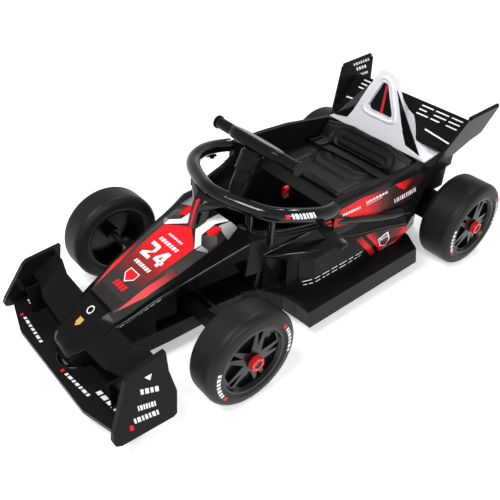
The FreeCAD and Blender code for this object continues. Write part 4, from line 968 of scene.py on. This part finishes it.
def webbing():
    """Black nylon webbing: ribs across the strap and fine threads along it, from its UV map."""
    material, tree, shader = new_material("belt_webbing")
    uv = add_node(tree, "UVMap", {}, uv_map="strap").outputs["UV"]
    ribs = add_node(tree, "TexWave", {"Vector": uv, "Scale": 30}).outputs["Fac"]
    threads = add_node(tree, "TexWave", {"Vector": uv, "Scale": 7}, bands_direction="Y")
    height = math_node(tree, "ADD", ribs,
                       math_node(tree, "MULTIPLY", threads.outputs["Fac"], 0.4))
    feed(tree, shader, {
        "Base Color": mixed(tree, ribs, (0.006, 0.006, 0.0065), (0.016, 0.016, 0.017)),
        "Roughness": grained(tree, 0.7, 0.001, 0.1)["Roughness"],
        "Normal": bumped(tree, height, 0.5, 0.0006),
        "Specular IOR Level": 0.3})
    return material


# %% Lap belt
STRAP_WIDTH, STRAP_STEPS, WEAVE_SIZE, STRAP_SAG, STRAP_LIFT = 0.034, 64, 0.05, 0.003, 0.005
belt_low, belt_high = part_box("seat_belt")
bpy.ops.mesh.primitive_grid_add(x_subdivisions=6, y_subdivisions=STRAP_STEPS, size=1)
belt = bpy.context.object
belt.data.uv_layers[0].name = "strap"
middle_x = (belt_low[0] + belt_high[0]) / 2
half_span = belt_high[1] - 0.004
for loop in belt.data.loops:
    point = belt.data.vertices[loop.vertex_index].co
    belt.data.uv_layers["strap"].data[loop.index].uv = (point.y * 2 * half_span / WEAVE_SIZE,
                                                        point.x * STRAP_WIDTH / WEAVE_SIZE)
for vertex in belt.data.vertices:
    across, share = vertex.co.x, vertex.co.y * 2
    sag = 1 - share * share
    wave = 0.0006 * math.sin(share * 7) + 0.0004 * math.sin(share * 17 + across * 3)
    bend = 0.001 * math.sin(share * 5)
    vertex.co = Vector((middle_x + across * STRAP_WIDTH - STRAP_SAG * sag + bend,
                        share * half_span,
                        belt_low[2] + STRAP_LIFT + STRAP_SAG * sag + wave
                        + across * 0.008 * sag))
modified(belt, "SOLIDIFY", thickness=0.0018, offset=0)
modified(belt, "BEVEL", width=0.0005, segments=2)
finished(belt, "lap_belt", webbing(), 40)
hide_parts("seat_belt")
print("lap belt, mm:", [round(value * 1000) for value in belt.dimensions])

# %% [markdown]
# The adjuster is a flat frame with a raised bar. It starts as a cube of its size, which is cut
# at both sides of the bar. Its top is inset on each side of the bar and pushed down, which
# leaves a rim and a bar between two slots, and its edges are rounded by a bevel modifier.

# %% Belt adjuster
ADJUSTER_SIZE, ADJUSTER_Y, HALF_BAR = (0.05, 0.046, 0.011), -0.121, 0.003
ADJUSTER_RIM, SLOT_DEPTH = 0.0035, 0.004


def pressed(piece, chosen, inset, shift, each=False):
    """Inset the faces that a test picks and move them by a shift in metres."""
    for face in piece.data.polygons:
        face.select = chosen(face)
    with editing(piece, everything=False):
        bpy.ops.mesh.select_mode(type="FACE")
        bpy.ops.mesh.inset(thickness=inset, use_individual=each)
        bpy.ops.transform.translate(value=shift)


bpy.ops.mesh.primitive_cube_add(size=1,
                                location=(middle_x - 0.002, ADJUSTER_Y, belt_low[2] + 0.012))
adjuster = bpy.context.object
adjuster.scale = ADJUSTER_SIZE
settle(adjuster)
with editing(adjuster):
    for cut in (ADJUSTER_Y - HALF_BAR, ADJUSTER_Y + HALF_BAR):
        bpy.ops.mesh.select_all(action="SELECT")
        bpy.ops.mesh.bisect(plane_co=(middle_x, cut, 0), plane_no=(0, 1, 0))
pressed(adjuster,
        lambda face: face.normal.z > 0.9 and abs(face.center.y - ADJUSTER_Y) > HALF_BAR + MM,
        ADJUSTER_RIM, (0, 0, -SLOT_DEPTH), each=True)
modified(adjuster, "BEVEL", width=0.0012, segments=3)
finished(adjuster, "belt_adjuster", gloss_black, 35)
print("adjuster faces:", len(adjuster.data.polygons))

# %% [markdown]
# The roll hoop has a thick rounded rim round its window and a red strip standing in front of the
# black mesh. The rim is a curve with a round bevel, turned into a mesh; it is half sunk in the
# plate, so that it reads as one moulding. The curve leans back with the plate. Places on the
# body are shares of half its length, half its width and its height.

# %% Roll hoop rim and strip
SHARE_X, SHARE_Y, SHARE_Z = 635.0, 264.0, 494.0
HOOP_FOOT = Vector((-0.641 * SHARE_X, 0, 0.599 * SHARE_Z)) * MM
HOOP_LEAN = math.radians(-5)
HOOP_FRONT = HOOP_FOOT.x / MM
RIM_PLACES = [(-40, 363), (0, 362), (40, 363), (54, 369), (55, 384), (36, 430), (19, 466),
              (0, 475), (-19, 466), (-36, 430), (-55, 384), (-54, 369)]


def moulding(name, points, radii, closed=False, material=gloss_black):
    """A round bar along points in millimetres, of one radius or with a radius at each point."""
    swelling = isinstance(radii, tuple)
    bpy.ops.curve.primitive_bezier_curve_add()
    line = bpy.context.object
    spline = line.data.splines[0]
    spline.bezier_points.add(len(points) - 2)
    for number, (knot, place) in enumerate(zip(spline.bezier_points, points)):
        knot.co = Vector(place) * MM
        knot.radius = radii[number] if swelling else 1.0
        knot.handle_left_type = knot.handle_right_type = "AUTO"
    spline.use_cyclic_u = closed
    line.data.resolution_u = 10 if swelling else 6
    line.data.bevel_depth = MM if swelling else radii * MM
    line.data.bevel_resolution = 4
    line.data.use_fill_caps = not closed
    only(line)
    bpy.ops.object.convert(target="MESH")
    settle(line)
    with editing(line):
        bpy.ops.mesh.normals_make_consistent(inside=False)
    return finished(line, name, material, 50)


rim = moulding("hoop_rim", [(HOOP_FRONT - 2.5, y, z) for y, z in RIM_PLACES], 6.5, closed=True,
               material=white_plastic)
rim.data.transform(Matrix.Translation(HOOP_FOOT) @ Matrix.Rotation(HOOP_LEAN, 4, "Y")
                   @ Matrix.Translation(-HOOP_FOOT))
print("hoop rim:", [round(value * 1000) for value in rim.dimensions])

strip = sheets("hoop_strip", "hoop_mesh", FRONT,
               [(red_plastic, [(-4, 368), (4, 368), (5, 462), (-3, 462)])], 2.4)
modified(strip, "SOLIDIFY", thickness=0.0024, offset=-1)
print("hoop strip:", [round(value * 1000) for value in strip.dimensions])

# %% [markdown]
# The hood and the nose have soft moulded edges that catch a thin line of light. A slim bead with
# a gloss finish, sunk to half its thickness in the edge, gives that line without touching the
# hood's own surface.

# %% Beads along edges
RIDGE = [(0.78, 0.272, 0.312), (0.726, 0.303, 0.338), (0.636, 0.337, 0.385),
         (0.543, 0.375, 0.425), (0.441, 0.413, 0.464), (0.346, 0.451, 0.5), (0.262, 0.496, 0.535)]
NOSE_RIDGE = [(0.782, 0.272, 0.312), (0.863, 0.214, 0.249), (0.913, 0.172, 0.224),
              (0.936, 0.13, 0.214)]

for side, sign, _ in SIDES:
    for name, rows, radius in (("hood", RIDGE, 3.2), ("nose", NOSE_RIDGE, 2.6)):
        moulding(f"{name}_ridge_{side}",
                 [(x * SHARE_X, sign * y * SHARE_Y, z * SHARE_Z) for x, y, z in rows], radius)
print("beads laid")

# %% [markdown]
# A sleeve with a wider collar hides the steering column's boot. Both are round shells with open
# ends, so that the column turns freely inside. Under the halo's ring stand short thick studs.

# %% Column sleeve and ring studs
COLUMN_LEAN = math.radians(26.5)
COLUMN_LINE = Vector((-math.sin(COLUMN_LEAN), 0, math.cos(COLUMN_LEAN)))
SLEEVE_TOP = Vector((62.1, 0, 379.8))
RING_STUDS = {"front": (146.7, 106.1, 302, 332), "rear": (111.7, 143.2, 294, 326)}

for name, low, high, radius, wall in (("column_sleeve", 14, 112, 24.5, 2),
                                      ("sleeve_collar", -28, 17, 28.8, 2.5)):
    bpy.ops.mesh.primitive_cylinder_add(
        vertices=64, radius=radius * MM, depth=abs(high - low) * MM, end_fill_type="NOTHING",
        location=(SLEEVE_TOP - COLUMN_LINE * (low + high) / 2) * MM,
        rotation=(0, -COLUMN_LEAN, 0))
    shell = bpy.context.object
    settle(shell)
    modified(shell, "SOLIDIFY", thickness=wall * MM, offset=-1)
    modified(shell, "BEVEL", width=0.9 * MM, segments=3)
    finished(shell, name, body_black, 35)
    print(name, "faces:", len(shell.data.polygons))
for side, sign, _ in SIDES:
    for end, (x, y, foot, top) in RING_STUDS.items():
        moulding(f"ring_stud_{end}_{side}", [(x, y * sign, foot), (x, y * sign, top)], 10.5)

# %% [markdown]
# Under the red start knob sits the brass barrel of its lock, with a round hollow pressed in its
# face. The hub caps are round pins of the same kind.

# %% Lock barrel


def pin(name, material, place, direction, turn, sizes, body="chassis"):
    """A round pin whose end, facing one way, has a hollow; sizes in metres, as unpacked here."""
    radius, depth, inset, sink, edge = sizes
    bpy.ops.mesh.primitive_cylinder_add(vertices=40, radius=radius, depth=depth, rotation=turn,
                                        location=place)
    piece = bpy.context.object
    settle(piece)
    pressed(piece, lambda face: face.normal.dot(direction) > 0.9, inset, -direction * sink)
    modified(piece, "BEVEL", width=edge, segments=3)
    finished(piece, name, material, 35, body)


QUARTER = math.pi / 2
brass = plastic("brass", (0.3, 0.2, 0.05), 0.28, grain_depth=0.0, shine=0.6)
knob_low, knob_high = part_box("start_switch")
print("start switch, mm:", [round(value * 1000) for value in (*knob_low, *knob_high)])
pin("lock_barrel", brass, (-0.1045, (knob_low[1] + knob_high[1]) / 2, knob_low[2] - 0.005), FRONT,
    (0, QUARTER, 0), (0.0062, 0.012, 0.0018, 0.0015, 0.0005))

# %% [markdown]
# The pillar under the ring has a red strip down its front. The hub of each wheel shows a black
# cap in its red nut. The tyres carry two arcs of small white marks on each outer wall, with a
# red one at the end of each arc.

# %% Pillar strip and ring marks
sheets("pillar_strip", "halo", FRONT,
       [(plain_red, [(-3.5, 262), (3.5, 262), (4.5, 338), (-4.5, 338)])], 0.5, least=0.25)
sheets("ring_marks", "halo", LEFT,
       dashes((92, 337), (40, 331), -11, WORD)
       + [(plain_red, [(106, 338), (98, 338), (98, 347), (106, 347)])], 0.5, least=0.45,
       half=1)
print("pillar strip and ring marks laid")

# %% Tyre marks and hub caps
AXLE_Z = 124
MARK_WIDTHS = (3, 1.6, 3, 1.6, 4, 1.6, 3, 1.6, 3, 1.6, 4, 1.6, 3)
MARK_INNER, MARK_OUTER = 96, 105
CAP_SIZES = (0.0078, 0.006, 0.0022, 0.0016, 0.0006)


def arc_marks(centre_x, start, end, widths, material):
    """Marks along an arc round a wheel's middle, from one angle in degrees to another."""
    total = sum(widths)
    rows = []
    place = 0.0
    for number, width in enumerate(widths):
        near, far = (math.radians(start + (end - start) * at / total)
                     for at in (place, place + width))
        place += width
        if number % 2 == 0:
            corners = [(centre_x + radius * math.cos(angle), AXLE_Z + radius * math.sin(angle))
                       for angle, radius in ((near, MARK_INNER), (far, MARK_INNER),
                                             (far, MARK_OUTER), (near, MARK_OUTER))]
            rows.append((material, corners))
    return rows


for end, centre_x in (("front", 0.4787 * SHARE_X), ("rear", -0.7969 * SHARE_X)):
    for side, sign, direction in SIDES:
        wheel = f"{end}_{side}"
        rows = []
        for turn in (0, 180):
            rows += arc_marks(centre_x, 152 + turn, 196 + turn, MARK_WIDTHS, white_print)
            rows += arc_marks(centre_x, 142 + turn, 148 + turn, (1,), plain_red)
        sheets(f"tyre_marks_{wheel}", f"tyre_{wheel}", direction, rows, 0.3, least=0.5,
               body=f"wheel_{wheel}")
        nut_low, nut_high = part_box(f"hub_nut_{wheel}")
        outer_y = nut_high[1] if sign > 0 else nut_low[1]
        pin(f"hub_cap_{wheel}", gloss_black, (centre_x * MM, outer_y - sign * 0.0045, AXLE_Z * MM),
            direction, (QUARTER, 0, 0), CAP_SIZES, f"wheel_{wheel}")
print("tyre marks laid")

# %% [markdown]
# Each skirt has a crowned top that rises from its outer edge to the pod's foot, and swells into
# a rounded lip in front. The crown is a grid whose height follows a smooth function of the
# place, with its outermost ring turned down onto the skirt and its edges rounded by a bevel.

# %% Skirt crowns
CROWN_REAR, CROWN_FRONT = -322.0, 85.2
CROWN_INNER, CROWN_OUTER, CROWN_PEAK = 148.0, 262.4, 221.0
SKIRT_TOP, CROWN_SINK = 96.8, -0.8
LONG_STEPS, CROSS_STEPS = 56, 26
RIM_SHARE = 0.9999


def crown_front(across):
    """How far forward the skirt's top reaches at a distance from the middle plane."""
    return CROWN_FRONT + max(0.0, CROWN_PEAK - across) * 0.16 + max(0.0, 181 - across) * 0.33


def crown_height(ahead, across):
    """Height of the crown over the skirt's flat top, in millimetres."""
    top = 8.5 + 6.5 * smooth_step(ahead, 20, 84) - 5.0 * smooth_step(-ahead, 250, 322)
    if across > CROWN_PEAK:
        share = (across - CROWN_PEAK) / (CROWN_OUTER - CROWN_PEAK)
        return 0.8 + (top - 0.8) * (1 - share ** 2.4)
    fall = smooth_step(across, CROWN_INNER, CROWN_PEAK - 6)
    lowest = 1.5 if ahead > 40 else 4.0
    return lowest + (top - lowest) * fall


def inner_share(place, steps):
    """A share of the way over the grid's inner part, from a place between -1 and 1."""
    share = min(max((place + 1) / 2, 1 / steps), 1 - 1 / steps)
    return (share * steps - 1) / (steps - 2)


def turned_up(piece):
    """Weld a sheet's doubled points and turn its faces up."""
    with editing(piece):
        bpy.ops.mesh.remove_doubles(threshold=1e-6)
        bpy.ops.mesh.normals_make_consistent(inside=False)
    if sum(face.normal.z for face in piece.data.polygons) < 0:
        piece.data.flip_normals()


for side, sign, _ in SIDES:
    bpy.ops.mesh.primitive_grid_add(x_subdivisions=LONG_STEPS, y_subdivisions=CROSS_STEPS, size=2)
    crown = bpy.context.object
    for vertex in crown.data.vertices:
        on_rim = max(abs(vertex.co.x), abs(vertex.co.y)) > RIM_SHARE
        across = (CROWN_INNER
                  + (CROWN_OUTER - CROWN_INNER) * inner_share(vertex.co.y, CROSS_STEPS))
        ahead = (CROWN_REAR
                 + (crown_front(across) - CROWN_REAR) * inner_share(vertex.co.x, LONG_STEPS))
        height = CROWN_SINK if on_rim else crown_height(ahead, across)
        vertex.co = Vector((ahead, sign * across, SKIRT_TOP + height)) * MM
    turned_up(crown)
    modified(crown, "BEVEL", width=0.0011, segments=3, limit_method="ANGLE",
             angle_limit=math.radians(50))
    finished(crown, f"skirt_crown_{side}", skirt_black, 60)
    print(crown.name, len(crown.data.polygons), "faces")

# %% [markdown]
# The pods carry sculpted trim: a glossy lip over the inlet, a thin upper edge that runs to the
# cowl, a long strake under the rail and a soft crest above the red block. Each is a curve with
# a round section whose thickness swells and thins along it. The inlet's back wall gets a sheet
# of painted shade, near black and dull, standing in for the shade deep inside the inlet.

# %% Pod trim
POD_TRIM = {
    "inlet_lip": ([(123, 133, 211), (98, 151, 211.5), (62, 171, 212), (28, 188, 211.5),
                   (-2, 198, 210)], (2.0, 4.2, 5.0, 4.4, 1.6)),
    "cowl_edge": ([(122, 133, 213), (84, 151, 232), (48, 167, 248), (14, 179, 260)],
                  (1.6, 2.8, 3.0, 1.8)),
    "rail_strake": ([(-18, 193, 272), (-60, 199, 268), (-120, 206, 252), (-190, 213, 231),
                     (-250, 221, 216), (-318, 228, 199)], (1.5, 6.0, 9.0, 10.0, 8.0, 2.0)),
    "pod_crest": ([(-70, 203, 224), (-102, 206, 212), (-150, 214, 205), (-200, 222, 200),
                   (-250, 231, 192), (-289, 238, 184), (-300, 240, 178)],
                  (0.8, 2.2, 3.2, 3.6, 3.4, 2.6, 1.0)),
}
INLET = [(124, 103), (171, 103), (171, 201), (124, 203)]

for side, sign, _ in SIDES:
    for name, (points, radii) in POD_TRIM.items():
        moulding(f"{name}_{side}", [(x, sign * y, z) for x, y, z in points], radii)
    # a sheet of painted shade over the inlet's back wall
    sheets(f"inlet_dark_{side}", f"sidepod_{side}", FRONT,
           [(painted_shade_black, [(sign * y, z) for y, z in INLET])], 0.15, least=0.35)
print("pod trim laid")

# %% [markdown]
# A thin dark panel closes the gap between the front wing and the flaps above it, and reaches
# under the nose. It starts as a disc of eight corners that are moved to its outline, and gets
# its thickness and rounded edges from modifiers. A glossy rim runs round the notch for the nose.

# %% Front wing panel and rim
UNDER_PANEL = both_halves([(606, 52), (570, 66), (560, 234), (512, 234)])
UNDER_PANEL_TOP = 47.6
NOTCH_CENTRE, NOTCH_TOP, NOTCH_RADIUS, NOTCH_RIM = 569.0, 58.2, 42.0, 2.2

bpy.ops.mesh.primitive_circle_add(vertices=len(UNDER_PANEL), radius=1, fill_type="NGON")
under_panel = bpy.context.object
for vertex, (x, y) in zip(under_panel.data.vertices, UNDER_PANEL):
    vertex.co = Vector((x, y, UNDER_PANEL_TOP)) * MM
turned_up(under_panel)
modified(under_panel, "SOLIDIFY", thickness=0.004, offset=-1)
modified(under_panel, "BEVEL", width=0.0012, segments=3)
finished(under_panel, "wing_under_panel", dull_black, 40)
moulding("wing_notch_rim",
         [(NOTCH_CENTRE + NOTCH_RADIUS * math.cos(angle), NOTCH_RADIUS * math.sin(angle),
           NOTCH_TOP) for angle in map(math.radians, range(-90, 91, 18))], NOTCH_RIM)
print("wing panel and rim laid")
